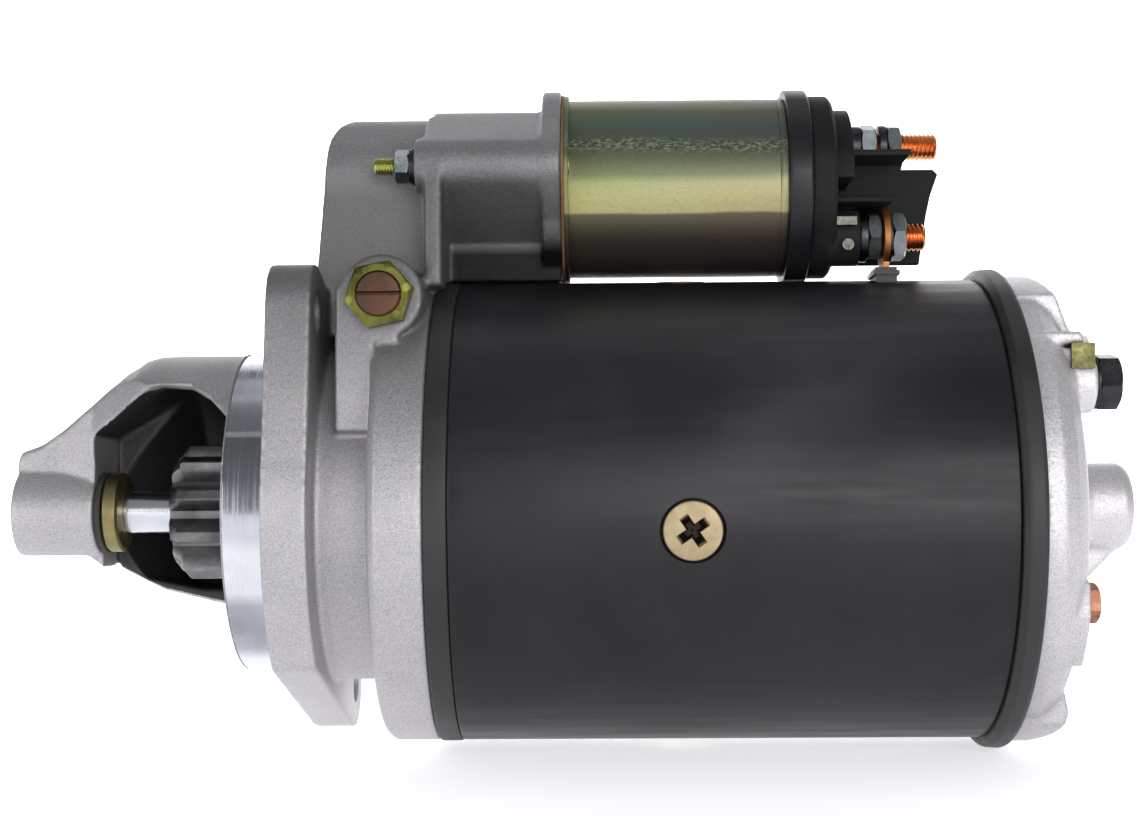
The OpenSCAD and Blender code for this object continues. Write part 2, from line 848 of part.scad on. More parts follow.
module engaging_lever() {
    color([0.45, 0.45, 0.47]) difference() {
        union() {
            translate([pivot_x, 0, pivot_z]) intersection() {
                slab(-22, 22) lever_side();
                plate(-20, 20) lever_front();
            }
            for (s = [-1, 1]) translate([34.5, s > 0 ? 12.2 : -18.5, 0]) rotate([-90, 0, 0])
                cylinder(h = 6.3, r = 2.2);
        }
        cross(-20, 20, 5.05);
        // open slot for the plunger's pin
        translate([pin_x, 0, solenoid_z]) rotate([0, -7.1, 0])
            block([-2.75, -4, -3.3], [2.75, 4, 12]);
    }
}

module plunger() {
    color(steel) on_solenoid() difference() {
        union() {
            rod(19, 60, 6);
            rod(46.2, 48.2, 12);
            turned([[58, 0], [58, plunger_r], [100.5, plunger_r], [102, plunger_r - 1.2], [102, 0]]);
        }
        block([18, -3.1, -7], [35, 3.1, 7]);
        translate([pin_x, -8, 0]) rotate([-90, 0, 0]) cylinder(h = 16, r = 2.5);
    }
}

module plunger_pin() {
    color(steel) translate([pin_x, -7, solenoid_z]) rotate([-90, 0, 0]) cylinder(h = 14, r = 2.5);
}

module plunger_spring() {
    color(steel) translate([48.3, 0, solenoid_z]) rotate([0, 90, 0]) coil(28.6, 11.1, 0.8, 6);
}

module moving_contact() {
    color(copper) on_solenoid() {
        rod(109.3, 145, 2.9);
        rod(141.8, 144.2, 19);
    }
}

drive_end_nose();
drive_end_flange();
drive_end_housing();
nose_bush();
thrust_washer();
intermediate_bracket();
centre_bush();
front_seal_ring();
yoke();
pole_shoes();
field_coils();
pole_screws();
rear_seal_ring();
rear_cover();
rear_bush();
through_bolts();
cover_screw();
earth_clip();
brush_holder();
for (k = poles) brush(k);
brush_springs();
motor_lead();
lead_grommet();
solenoid_can();
solenoid_gasket();
solenoid_core();
solenoid_bobbin();
solenoid_winding();
solenoid_end_ring();
terminal_cap();
battery_stud();
motor_stud();
terminal_nuts();
terminal_washers();
blade_terminal();
solenoid_studs();
solenoid_nuts();
solenoid_washers();
pivot_pin();
pivot_lock_nut();
armature_shaft();
armature_core();
armature_winding();
commutator();
stop_collar();
pinion();
clutch_body();
clutch_rollers();
engaging_lever();
plunger();
plunger_pin();
plunger_spring();
moving_contact();
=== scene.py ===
"""Looks for the starter motor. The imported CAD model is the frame; the pieces made here are in
its frame, in metres, and each takes its place from the CAD node that it stands for."""
import math

import bmesh
import bpy
from mathutils import Matrix, Vector


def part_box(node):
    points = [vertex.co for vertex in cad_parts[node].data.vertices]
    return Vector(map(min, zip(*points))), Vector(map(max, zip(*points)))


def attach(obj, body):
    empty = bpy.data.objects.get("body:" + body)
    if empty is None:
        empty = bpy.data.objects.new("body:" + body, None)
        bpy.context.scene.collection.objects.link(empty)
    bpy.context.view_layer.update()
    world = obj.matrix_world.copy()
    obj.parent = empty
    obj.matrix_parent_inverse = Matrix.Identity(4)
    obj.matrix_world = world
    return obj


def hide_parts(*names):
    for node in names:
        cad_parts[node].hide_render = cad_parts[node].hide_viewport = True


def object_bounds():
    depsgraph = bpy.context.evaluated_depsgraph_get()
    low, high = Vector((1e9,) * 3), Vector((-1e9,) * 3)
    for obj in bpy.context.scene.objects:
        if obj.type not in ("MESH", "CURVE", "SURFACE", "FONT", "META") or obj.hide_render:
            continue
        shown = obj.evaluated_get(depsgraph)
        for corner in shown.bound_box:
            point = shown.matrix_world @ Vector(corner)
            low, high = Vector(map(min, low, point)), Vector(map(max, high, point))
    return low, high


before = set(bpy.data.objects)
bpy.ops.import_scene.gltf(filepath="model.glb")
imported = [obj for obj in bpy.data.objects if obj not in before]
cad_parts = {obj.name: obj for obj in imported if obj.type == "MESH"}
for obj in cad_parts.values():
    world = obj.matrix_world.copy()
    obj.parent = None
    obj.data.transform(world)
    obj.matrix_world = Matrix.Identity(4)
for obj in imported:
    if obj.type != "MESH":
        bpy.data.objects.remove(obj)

MM = 0.001
TURN = 2 * math.pi
cad_box = [list(corner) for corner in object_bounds()]
HOUSING = "housing"
SHARP = 32           # degrees; a steeper edge between two faces shows as a line
ON_AXIS = 0.01       # a radius that stands for none, so that a turned shape closes
MOST_FACES = 95000   # that a casting may keep
# radii in mm, as the CAD has them
YOKE_BORE_R = 57.5
YOKE_LIP_R = 61.5    # the yoke's turned-down ends, under the bands
SPIGOT_R = 44.45
SNOUT_R = 43.4
# the six faces of a block whose corners are given as two rounds of four
BLOCK = [(0, 1, 2, 3), (4, 5, 6, 7), (0, 1, 5, 4), (1, 2, 6, 5), (2, 3, 7, 6), (3, 0, 4, 7)]


# ---- reading the frame

def span(node):
    """Lowest and highest corner of a CAD node, in millimetres."""
    low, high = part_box(node)
    return Vector(low) / MM, Vector(high) / MM


def islands(node):
    """The box of each separate solid in a CAD node, in millimetres, in order along X."""
    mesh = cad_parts[node].data
    places = {}
    same = [places.setdefault(tuple(round(c, 6) for c in v.co), v.index) for v in mesh.vertices]
    parent = list(range(len(same)))

    def root(i):
        while parent[i] != i:
            parent[i] = parent[parent[i]]
            i = parent[i]
        return i

    for edge in mesh.edges:
        a, b = (root(same[i]) for i in edge.vertices)
        parent[a] = b
    groups = {}
    for v in mesh.vertices:
        groups.setdefault(root(same[v.index]), []).append(v.co / MM)
    boxes = [(Vector([min(c[i] for c in g) for i in range(3)]),
              Vector([max(c[i] for c in g) for i in range(3)])) for g in groups.values()]
    return sorted(boxes, key=lambda b: (round(b[0].x, 2), b[0].z))


def middle(box):
    """Centre of a box in Y and Z."""
    return (box[0].y + box[1].y) / 2, (box[0].z + box[1].z) / 2


# ---- mesh helpers

def placed(name, data):
    """Puts a new object into the scene."""
    obj = bpy.data.objects.new(name, data)
    bpy.context.scene.collection.objects.link(obj)
    return obj


def mesh_of(name, shape):
    """A mesh in metres from a shape: (vertices in millimetres, faces)."""
    verts, faces = shape
    bm = bmesh.new()
    made = [bm.verts.new(v) for v in verts]
    for face in faces:
        bm.faces.new([made[i] for i in face])
    bmesh.ops.remove_doubles(bm, verts=bm.verts, dist=0.002)
    bmesh.ops.recalc_face_normals(bm, faces=bm.faces)
    bmesh.ops.scale(bm, vec=(MM, MM, MM), verts=bm.verts)
    mesh = bpy.data.meshes.new(name)
    bm.to_mesh(mesh)
    bm.free()
    return mesh


def piece(name, shape, material, body=HOUSING, stands_for=(), sharp=SHARP):
    """Turns a shape into a piece that rides on a CAD body."""
    mesh = mesh_of(name, shape)
    mesh.shade_smooth()
    mesh.set_sharp_from_angle(angle=math.radians(sharp))
    mesh.materials.append(material)
    obj = placed(name, mesh)
    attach(obj, body)
    if stands_for:
        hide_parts(*stands_for)
    return obj


def merged(parts):
    """Joins several (verts, faces) lists into one."""
    verts, faces = [], []
    for v, f in parts:
        base = len(verts)
        verts += v
        faces += [tuple(i + base for i in face) for face in f]
    return verts, faces


def wall(rings, n):
    """Faces between rings of n points each, one ring after another."""
    return [(i * n + k, i * n + (k + 1) % n, (i + 1) * n + (k + 1) % n, (i + 1) * n + k)
            for i in range(rings - 1) for k in range(n)]


def sweep(n, sides, closed=True):
    """Faces of an outline of n points that is repeated all round a circle."""
    faces = []
    for k in range(sides):
        base, following = k * n, (k + 1) % sides * n
        for i in range(n if closed else n - 1):
            j = (i + 1) % n
            faces.append((base + i, base + j, following + j, following + i))
    return faces


def rounded(points, radius, steps=5):
    """A closed outline with its corners rounded. radius is one number or one for each point."""
    radii = radius if isinstance(radius, (list, tuple)) else [radius] * len(points)
    out = []
    n = len(points)
    for i, (p, r) in enumerate(zip(points, radii)):
        here = Vector(p)
        before = Vector(points[i - 1]) - here
        after = Vector(points[(i + 1) % n]) - here
        if r <= 0 or before.length < 1e-6 or after.length < 1e-6:
            out.append(tuple(here))
            continue
        half = before.angle(after) / 2
        if half > math.radians(88):
            out.append(tuple(here))
            continue
        cut = min(r / math.tan(half), before.length * 0.48, after.length * 0.48)
        start = here + before.normalized() * cut
        end = here + after.normalized() * cut
        for k in range(steps + 1):
            t = k / steps
            out.append(tuple(start * (1 - t) ** 2 + here * 2 * t * (1 - t) + end * t * t))
    return out


def turned(outline, centre=(0, 0), sides=160, radius=None):
    """Revolves a closed outline of (x, r) points about the X line through centre.
    radius(x, r, angle) may change a point's radius."""
    cy, cz = centre
    verts = []
    for k in range(sides):
        a = TURN * k / sides
        for x, r in outline:
            rr = radius(x, r, a) if radius else r
            verts.append((x, cy + rr * math.cos(a), cz + rr * math.sin(a)))
    return verts, sweep(len(outline), sides)


def finely(outline, step):
    """A closed outline with points added along its long runs, about step apart in X."""
    out = []
    for i, (x, r) in enumerate(outline):
        nx, nr = outline[(i + 1) % len(outline)]
        out.append((x, r))
        parts = int(abs(nx - x) / step)
        out += [(x + (nx - x) * k / parts, r + (nr - r) * k / parts) for k in range(1, parts)]
    return out


def rod(x0, x1, r, centre, edge=0, sides=32):
    """A solid round bar along X."""
    outline = [(x0, ON_AXIS), (x0, r), (x1, r), (x1, ON_AXIS)]
    return turned(rounded(outline, edge) if edge else outline, centre, sides)


def washer(x0, x1, bore, r, edge, centre=(0, 0), sides=48):
    """A flat ring round X with its edges rounded."""
    return turned(rounded([(x0, bore), (x1, bore), (x1, r), (x0, r)], edge), centre, sides)


def hex_radius(a, flats, phase=0.0):
    """Distance from the centre to a hexagon's edge in direction a."""
    b = (a - phase) % (TURN / 6) - TURN / 12
    return flats / 2 / math.cos(b)


def hexagon(x0, x1, flats, centre, bore=0.0, phase=0.0, chamfer_start=True, chamfer_end=True):
    """A nut or bolt head along X whose corners are chamfered at 30 degrees."""
    cy, cz = centre
    sides = 72
    face_r = flats / 2 * 0.97   # of the round face that the chamfer leaves
    slope = 0.577               # tan 30
    rings = [("bore", x0, 0), ("face", x0, 0), ("corner", x0, 1), ("corner", x1, -1),
             ("face", x1, 0), ("bore", x1, 0)]
    verts = []
    for k in range(sides):
        a = TURN * k / sides + phase
        edge = hex_radius(a, flats, phase)
        for kind, x, way in rings:
            chamfered = chamfer_start if x == x0 else chamfer_end
            r, drop = edge, 0
            if kind == "bore":
                r = max(bore, ON_AXIS)
            elif chamfered and kind == "face":
                r = min(edge, face_r)
            elif chamfered:
                drop = (edge - face_r) * slope + 0.05
            verts.append((x + way * drop, cy + r * math.cos(a), cz + r * math.sin(a)))
    return verts, sweep(len(rings), sides, closed=bore > 0)


def threaded(x0, x1, r, pitch, centre, tip_end=True, tip_start=False):
    """A rod along X with a helical V thread, closed at both ends."""
    cy, cz = centre
    sides = 40
    depth = 0.54 * pitch
    rows = max(4, int((x1 - x0) / pitch * 8))
    verts = [(x0, cy, cz)]
    for i in range(rows + 1):
        x = x0 + (x1 - x0) * i / rows
        for k in range(sides):
            a = TURN * k / sides
            wave = abs(2 * (((x / pitch) - k / sides) % 1) - 1)
            rr = r - depth * (1 - wave)
            if tip_end:
                rr = min(rr, r - depth * 1.1 + max(0, x1 - x))
            if tip_start:
                rr = min(rr, r - depth * 1.1 + max(0, x - x0))
            verts.append((x, cy + rr * math.cos(a), cz + rr * math.sin(a)))
    verts.append((x1, cy, cz))
    faces = []
    for k in range(sides):
        j = (k + 1) % sides
        faces.append((0, 1 + j, 1 + k))
        for i in range(rows):
            a, b = 1 + i * sides, 1 + (i + 1) * sides
            faces.append((a + k, a + j, b + j, b + k))
        last = 1 + rows * sides
        faces.append((len(verts) - 1, last + k, last + j))
    return verts, faces


def prism(outline, x0, x1, edge):
    """A (y, z) outline given thickness along X, with its long edges rounded over."""
    n = len(outline)
    area = sum(outline[i - 1][0] * outline[i][1] - outline[i][0] * outline[i - 1][1]
               for i in range(n))
    sign = 1 if area > 0 else -1
    normals = []
    for i in range(n):
        a, b = Vector(outline[i - 1]), Vector(outline[(i + 1) % n])
        d = (b - a).normalized()
        normals.append(Vector((-d.y, d.x)) * sign)
    steps = 4
    rings = [(x0 + edge * (1 - math.sin(t * math.pi / 2 / steps)),
              edge * (1 - math.cos(t * math.pi / 2 / steps))) for t in range(steps, -1, -1)]
    rings += [(x0 + x1 - x, inset) for x, inset in reversed(rings)]
    verts = []
    for x, inset in rings:
        for p, m in zip(outline, normals):
            verts.append((x, p[0] + m.x * inset, p[1] + m.y * inset))
    faces = wall(len(rings), n)
    faces.append(tuple(range(n)))
    faces.append(tuple(range(len(verts) - n, len(verts))))
    return verts, faces


def cut(obj, shape):
    """Takes a shape out of a piece."""
    tool = placed("cutter", mesh_of("cutter", shape))
    modifier = obj.modifiers.new("cut", "BOOLEAN")
    modifier.operation = "DIFFERENCE"
    modifier.solver = "EXACT"
    modifier.object = tool
    bake(obj)
    bpy.data.objects.remove(tool)
    obj.data.set_sharp_from_angle(angle=math.radians(SHARP))


def bake(obj):
    """Applies a piece's modifiers."""
    view = bpy.context.evaluated_depsgraph_get()
    view.update()
    mesh = bpy.data.meshes.new_from_object(obj.evaluated_get(view))
    obj.modifiers.clear()
    obj.data = mesh


def cast(name, nodes, material, voxel, smoothing):
    """A casting: CAD solids joined into one, with every edge and inner corner rounded, as a
    mould leaves them. voxel is in millimetres."""
    bm = bmesh.new()
    for node in nodes:
        bm.from_mesh(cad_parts[node].data)
    bmesh.ops.remove_doubles(bm, verts=bm.verts, dist=2e-6)
    mesh = bpy.data.meshes.new(name)
    bm.to_mesh(mesh)
    bm.free()
    obj = placed(name, mesh)
    remesh = obj.modifiers.new("remesh", "REMESH")
    remesh.mode = "VOXEL"
    remesh.voxel_size = voxel * MM
    smooth = obj.modifiers.new("smooth", "SMOOTH")
    smooth.factor = 0.5
    smooth.iterations = smoothing
    bake(obj)
    count = len(obj.data.polygons)
    if count > MOST_FACES:
        fewer = obj.modifiers.new("fewer", "DECIMATE")
        fewer.ratio = MOST_FACES / count
        bake(obj)
    obj.data.validate()
    obj.data.materials.clear()
    obj.data.materials.append(material)
    obj.data.shade_smooth()
    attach(obj, HOUSING)
    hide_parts(*nodes)
    return obj


# ---- material helpers

class Paint:
    """One procedural material: a Principled shader and the nodes that vary it."""

    def __init__(self, name, colour, metallic=0.0, roughness=0.5, **sockets):
        self.material = bpy.data.materials.new(name)
        self.material.use_nodes = True
        self.tree = self.material.node_tree
        self.shader = self.tree.nodes["Principled BSDF"]
        self.shader.inputs["Base Color"].default_value = (*colour, 1)
        self.shader.inputs["Metallic"].default_value = metallic
        self.shader.inputs["Roughness"].default_value = roughness
        for socket, value in sockets.items():
            self.shader.inputs[socket.replace("_", " ")].default_value = value
        self.place = self.tree.nodes.new("ShaderNodeTexCoord").outputs["Object"]
        self.height = None

    def node(self, kind, **settings):
        """Adds a shader node. Each setting is one of its inputs or, failing that, a property."""
        made = self.tree.nodes.new(kind)
        for key, value in settings.items():
            if key in made.inputs:
                made.inputs[key].default_value = value
            else:
                setattr(made, key, value)
        return made

    def link(self, a, b):
        self.tree.links.new(a, b)

    def stretched(self, scale):
        """The piece's own coordinates, in metres, scaled by a different amount on each axis."""
        mapping = self.node("ShaderNodeMapping", Scale=scale)
        self.link(self.place, mapping.inputs["Vector"])
        return mapping.outputs["Vector"]

    def noise(self, scale, detail=4.0, rough=0.55, at=None):
        made = self.node("ShaderNodeTexNoise", Scale=scale, Detail=detail, Roughness=rough)
        self.link(at or self.place, made.inputs["Vector"])
        return made.outputs["Fac"]

    def ramp(self, source, stops, ease="LINEAR"):
        made = self.node("ShaderNodeValToRGB")
        made.color_ramp.interpolation = ease
        elements = made.color_ramp.elements
        while len(elements) < len(stops):
            elements.new(0.5)
        for element, (where, colour) in zip(elements, stops):
            element.position = where
            element.color = (*colour, 1) if len(colour) == 3 else colour
        self.link(source, made.inputs["Fac"])
        return made.outputs["Color"]

    def grey(self, source, low, high, start=0.0, end=1.0):
        """Maps source from start..end to low..high."""
        limits = {"From Min": start, "From Max": end, "To Min": low, "To Max": high}
        made = self.node("ShaderNodeMapRange", **limits)
        self.link(source, made.inputs["Value"])
        return made.outputs["Result"]

    def rise(self, source, start, end):
        """0 up to start and 1 from end on, both in millimetres."""
        return self.grey(source, 0, 1, start * MM, end * MM)

    def fall(self, source, start, end):
        """1 up to start and 0 from end on, both in millimetres."""
        return self.grey(source, 1, 0, start * MM, end * MM)

    def mix(self, factor, a, b, kind="MIX"):
        """Mixes two colours; either may be a socket or a plain colour."""
        made = self.node("ShaderNodeMix", data_type="RGBA", blend_type=kind)
        if isinstance(factor, (int, float)):
            made.inputs["Factor"].default_value = factor
        else:
            self.link(factor, made.inputs["Factor"])
        for value, socket in ((a, made.inputs[6]), (b, made.inputs[7])):
            if isinstance(value, (tuple, list)):
                socket.default_value = (*value, 1)
            else:
                self.link(value, socket)
        return made.outputs[2]

    def math(self, operation, a, b=0.0):
        """One arithmetic node; a and b may be sockets or numbers."""
        made = self.node("ShaderNodeMath", operation=operation)
        for value, socket in zip((a, b), made.inputs):
            if isinstance(value, (int, float)):
                socket.default_value = value
            else:
                self.link(value, socket)
        return made.outputs["Value"]

    def times(self, a, b):
        return self.math("MULTIPLY", a, b)

    def toned(self, painted, height, painted_light):
        """Paints light and shade on a colour by height, from (height in mm, colour factor) pairs.
        """
        low, high = painted_light[0][0], painted_light[-1][0]
        stops = [((h - low) / (high - low), factor) for h, factor in painted_light]
        return self.mix(1.0, painted, self.ramp(self.rise(height, low, high), stops), "MULTIPLY")

    def axes(self):
        """The piece's own X, Y and Z, in metres."""
        split = self.node("ShaderNodeSeparateXYZ")
        self.link(self.place, split.inputs["Vector"])
        return split.outputs["X"], split.outputs["Y"], split.outputs["Z"]

    def colour(self, source):
        self.link(source, self.shader.inputs["Base Color"])

    def roughness(self, source):
        self.link(source, self.shader.inputs["Roughness"])

    def bump(self, source, distance, strength=1.0):
        """Adds relief; distance is in millimetres."""
        made = self.node("ShaderNodeBump", Strength=strength, Distance=distance * MM)
        self.link(source, made.inputs["Height"])
        if self.height is not None:
            self.link(self.height, made.inputs["Normal"])
        self.height = made.outputs["Normal"]
        self.link(self.height, self.shader.inputs["Normal"])


def cast_metal(name, light, dark, painted_light, shade_nose_and_pocket=False):
    """Sand or gravity cast aluminium: a fine grain, soft blotches and small dark pits. The
    (height in mm, factor) pairs paint shade by height. The nose-and-pocket switch paints
    shade inside the nose and in the pocket under the solenoid's mount."""
    p = Paint(name, (light, light, light), metallic=0.7, roughness=0.52)
    blotch = p.noise(30, detail=5)
    grain = p.noise(1300, detail=2, rough=0.6)
    fine = p.noise(2600, detail=2)
    base = p.ramp(blotch, [(0.28, (dark, dark * 0.985, dark * 1.02)),
                           (0.55, (light * 0.95, light * 0.93, light * 0.96)),
                           (0.78, (light, light * 0.985, light * 1.01))])
    speck = p.ramp(fine, [(0.30, (0.66, 0.65, 0.66)), (0.50, (1, 1, 1)),
                          (0.72, (1.3, 1.28, 1.32))])
    painted = p.mix(0.8, base, speck, "MULTIPLY")
    x, y, z = p.axes()
    drift = p.grey(p.noise(22, detail=3), -0.006, 0.006, 0.3, 0.7)
    # painted shade: the colour is darkened by height
    painted = p.toned(painted, p.math("ADD", z, drift),
                      [(h, (f, f * 0.99, f * 0.98)) for h, f in painted_light])
    # painted shade: near black in the pocket under the solenoid's mount, dark grey on the nose's
    # inner walls
    if shade_nose_and_pocket:
        painted = p.mix(pocket_shade_mask(p, x, z), painted, (0.010, 0.009, 0.009))
        painted = p.mix(hollow_shade_mask(p, x, y, z), painted, (0.05, 0.047, 0.05))
    p.colour(painted)
    p.roughness(p.grey(grain, 0.42, 0.62, 0.3, 0.7))
    p.bump(grain, 0.16, 0.6)
    p.bump(blotch, 0.4, 0.1)
    return p.material


def pocket_shade_mask(p, x, z):
    """Where shade is painted: 1 in the pocket between the solenoid's mount and the yoke, 0
    elsewhere.
    """
    front, floor, roof = (44.8, 46), (60, 62), (71, 75)
    return p.times(p.times(p.rise(x, *front), p.rise(z, *floor)), p.fall(z, *roof))


def hollow_shade_mask(p, x, y, z):
    """Where shade is painted: 1 on walls that face the motor's axis inside the snout, 0 elsewhere.
    """
    front, back, wall_r = (-55.6, -54.8), (12, 14), (40.5, 42.0)
    outward = p.node("ShaderNodeCombineXYZ")
    p.link(y, outward.inputs["Y"])
    p.link(z, outward.inputs["Z"])
    length = p.node("ShaderNodeVectorMath", operation="LENGTH")
    p.link(outward.outputs["Vector"], length.inputs[0])
    facing = p.node("ShaderNodeVectorMath", operation="DOT_PRODUCT")
    p.link(outward.outputs["Vector"], facing.inputs[0])
    p.link(p.tree.nodes["Texture Coordinate"].outputs["Normal"], facing.inputs[1])
    away = p.math("DIVIDE", facing.outputs["Value"], length.outputs["Value"])
    inner = p.times(p.grey(away, 1, 0, -0.30, -0.12), p.fall(length.outputs["Value"], *wall_r))
    return p.times(inner, p.times(p.rise(x, *front), p.fall(x, *back)))


def machined_metal(name, colour=(0.80, 0.81, 0.83), lines=2600, bands=()):
    """Turned metal: fine tool lines around the X axis and a slight stain. bands holds
    (height in mm, factor) pairs: painted reflection streaks that run along the part."""
    p = Paint(name, colour, metallic=1.0, roughness=0.2)
    line = p.noise(1.0, detail=2, at=p.stretched((lines, 30, 30)))
    stain = p.noise(60, detail=4)
    painted = p.ramp(stain, [(0.3, tuple(c * 0.80 for c in colour)), (0.6, colour)])
    # painted reflection: lighter and darker streaks by height
    if bands:
        painted = p.toned(painted, p.axes()[2],
                          [(h, (f * 0.96, f * 0.98, min(1, f * 1.04))) for h, f in bands])
    p.colour(painted)
    p.roughness(p.grey(line, 0.12, 0.30, 0.3, 0.7))
    p.bump(line, 0.02, 0.5)
    return p.material


def black_enamel(name):
    """Satin black paint with faint wipe marks along the motor, soft dusty patches and a
    painted sheen: a greyer streak that slants across the yoke."""
    p = Paint(name, (0.010, 0.010, 0.012), roughness=0.36, Specular_IOR_Level=0.34)
    wipe = p.noise(1.0, detail=5, at=p.stretched((22, 260, 260)))
    dust = p.noise(16, detail=6, rough=0.62)
    peel = p.noise(520, detail=2)
    base = p.ramp(dust, [(0.38, (0.006, 0.006, 0.008)), (0.62, (0.013, 0.013, 0.016)),
                         (0.85, (0.026, 0.025, 0.032))])
    x, _, z = p.axes()
    # painted sheen: a soft greyer streak, a little rougher, slanting across the yoke
    slant = p.math("ADD", z, p.times(x, -0.55))
    along = p.math("ADD", slant, p.grey(p.noise(26, detail=4), -0.012, 0.012, 0.3, 0.7))
    sheen_band = p.ramp(p.rise(along, -75, -15), [(0.0, (0, 0, 0)), (0.45, (1, 1, 1)),
                                              (0.62, (0.6, 0.6, 0.6)), (1.0, (0, 0, 0))], "EASE")
    sheen = p.times(sheen_band, p.times(p.rise(x, 95, 125), p.fall(x, 140, 180)))
    p.colour(p.mix(p.times(sheen, 0.5), base, (0.055, 0.052, 0.058)))
    p.roughness(p.math("ADD", p.grey(wipe, 0.30, 0.48, 0.3, 0.72), p.times(sheen, 0.06)))
    p.bump(peel, 0.05, 0.25)
    p.bump(wipe, 0.03, 0.2)
    return p.material


def moulded(name, colour, rough=0.55, grain=700, shine=0.5):
    """Moulded rubber or plastic with a light surface grain and paler rubbed patches."""
    p = Paint(name, colour, roughness=rough, Specular_IOR_Level=shine)
    rub = p.noise(55, detail=5)
    skin = p.noise(grain, detail=3)
    p.colour(p.ramp(rub, [(0.35, colour), (0.75, tuple(min(1, c * 1.6 + 0.006) for c in colour))]))
    p.roughness(p.grey(rub, rough - 0.1, rough + 0.12, 0.3, 0.7))
    p.bump(skin, 0.06, 0.4)
    return p.material


def plated(name, stops, rough=(0.2, 0.42), scale=90, metallic=1.0, recess_shade_r=0.0):
    """Plated steel whose colour wanders between the given stops. What lies nearer the motor's
    axis than the given recess radius is painted nearly black: painted shade at the bottom of a
    screw's recess."""
    p = Paint(name, stops[0][1], metallic=metallic, roughness=rough[0])
    wander = p.noise(scale, detail=5, rough=0.6)
    fine = p.noise(1400, detail=3)
    painted = p.ramp(wander, stops)
    # painted shade at the bottom of a screw's recess
    if recess_shade_r:
        _, y, z = p.axes()
        out = p.math("SQRT", p.math("ADD", p.times(y, y), p.times(z, z)))
        painted = p.mix(p.fall(out, recess_shade_r - 0.5, recess_shade_r), painted, (0.02, 0.013, 0.008))
    p.colour(painted)
    p.roughness(p.grey(fine, rough[0], rough[1], 0.3, 0.7))
    p.bump(fine, 0.03, 0.3)
    return p.material


def passivated_can(name, centre):
    """Yellow-green chromate on a rolled steel can: bands round the can, drifting along its length,
    whose gold, olive and teal hues are the chromate's and whose light and dark are painted
    reflection, with fine rolling lines and a grainy strip."""
    p = Paint(name, (0.5, 0.5, 0.25), metallic=0.45, roughness=0.40)
    x, _, z = p.axes()
    drift = p.noise(1.0, detail=4, at=p.stretched((14, 60, 60)))
    drift = p.grey(drift, -0.0008, 0.0008, 0.3, 0.7)
    level = p.rise(p.math("ADD", z, drift), centre - 26, centre + 26)
    # painted reflection by height: near black low down, a bright gold band just under the middle, a
    # pale line near the top
    bands = p.ramp(level, [(0.0, (0.045, 0.036, 0.038)), (0.16, (0.055, 0.045, 0.042)),
                           (0.28, (0.11, 0.10, 0.065)), (0.292, (0.12, 0.11, 0.07)),
                           (0.305, (0.42, 0.385, 0.21)), (0.38, (0.40, 0.38, 0.19)),
                           (0.455, (0.31, 0.32, 0.16)), (0.50, (0.15, 0.17, 0.095)),
                           (0.60, (0.11, 0.135, 0.085)), (0.70, (0.085, 0.105, 0.085)),
                           (0.78, (0.070, 0.105, 0.092)), (0.86, (0.10, 0.11, 0.075)),
                           (0.90, (0.21, 0.22, 0.15)), (0.94, (0.10, 0.11, 0.075)),
                           (1.0, (0.07, 0.08, 0.06))])
    tint = p.ramp(p.rise(x, 78, 138), [(0.0, (1.0, 1.0, 0.72)), (0.45, (1.0, 1.0, 0.95)),
                                       (0.8, (1.0, 0.90, 0.86)), (1.0, (0.95, 0.86, 0.90))])
    toned = p.mix(0.8, bands, tint, "MULTIPLY")
    strip = p.ramp(level, [(0.60, (0, 0, 0)), (0.635, (1, 1, 1)), (0.665, (1, 1, 1)),
                           (0.71, (0, 0, 0))])
    grit = p.ramp(p.noise(1.0, detail=2, at=p.stretched((800, 2000, 2000))),
                  [(0.38, (0.035, 0.042, 0.030)), (0.50, (0.10, 0.12, 0.08)),
                   (0.62, (0.34, 0.36, 0.25))])
    toned = p.mix(p.times(strip, 0.6), toned, grit)
    speck = p.noise(1.0, detail=3, at=p.stretched((900, 2600, 2600)))
    worn = p.ramp(speck, [(0.35, (0.55, 0.55, 0.5)), (0.6, (1, 1, 1))])
    p.colour(p.mix(0.35, toned, worn, "MULTIPLY"))
    p.roughness(p.grey(speck, 0.30, 0.50, 0.3, 0.7))
    p.bump(speck, 0.02, 0.35)
    return p.material


def layered(name, colour, spacing):
    """Bands along X, for enamelled wire laid side by side or sheet steel in a stack. A larger
    spacing makes wider bands."""
    p = Paint(name, colour, metallic=0.9, roughness=0.32, Coat_Weight=0.5, Coat_Roughness=0.15)
    wave = p.node("ShaderNodeTexWave", wave_type="BANDS", bands_direction="X", Scale=50 / spacing,
                  Distortion=0.3)
    p.link(p.place, wave.inputs["Vector"])
    p.colour(p.ramp(wave.outputs["Fac"], [(0.0, tuple(c * 0.4 for c in colour)), (0.5, colour)]))
    p.bump(wave.outputs["Fac"], 0.2, 0.5)
    return p.material


# painted shade by height: lightest low down, darkest 66 to 86 mm up, a little lighter above
CAST = cast_metal("cast_aluminium", light=0.60, dark=0.50, shade_nose_and_pocket=True, painted_light=(
    (-60, 0.92), (0, 0.82), (30, 0.64), (52, 0.40), (66, 0.27), (86, 0.27), (94, 0.38),
    (104, 0.52), (120, 0.52)))
# painted shade by height: darker towards the bottom
CAST_BRIGHT = cast_metal("cast_aluminium_bright", light=0.72, dark=0.60, painted_light=(
    (-60, 0.72), (-30, 0.85), (0, 1.0), (60, 1.0)))
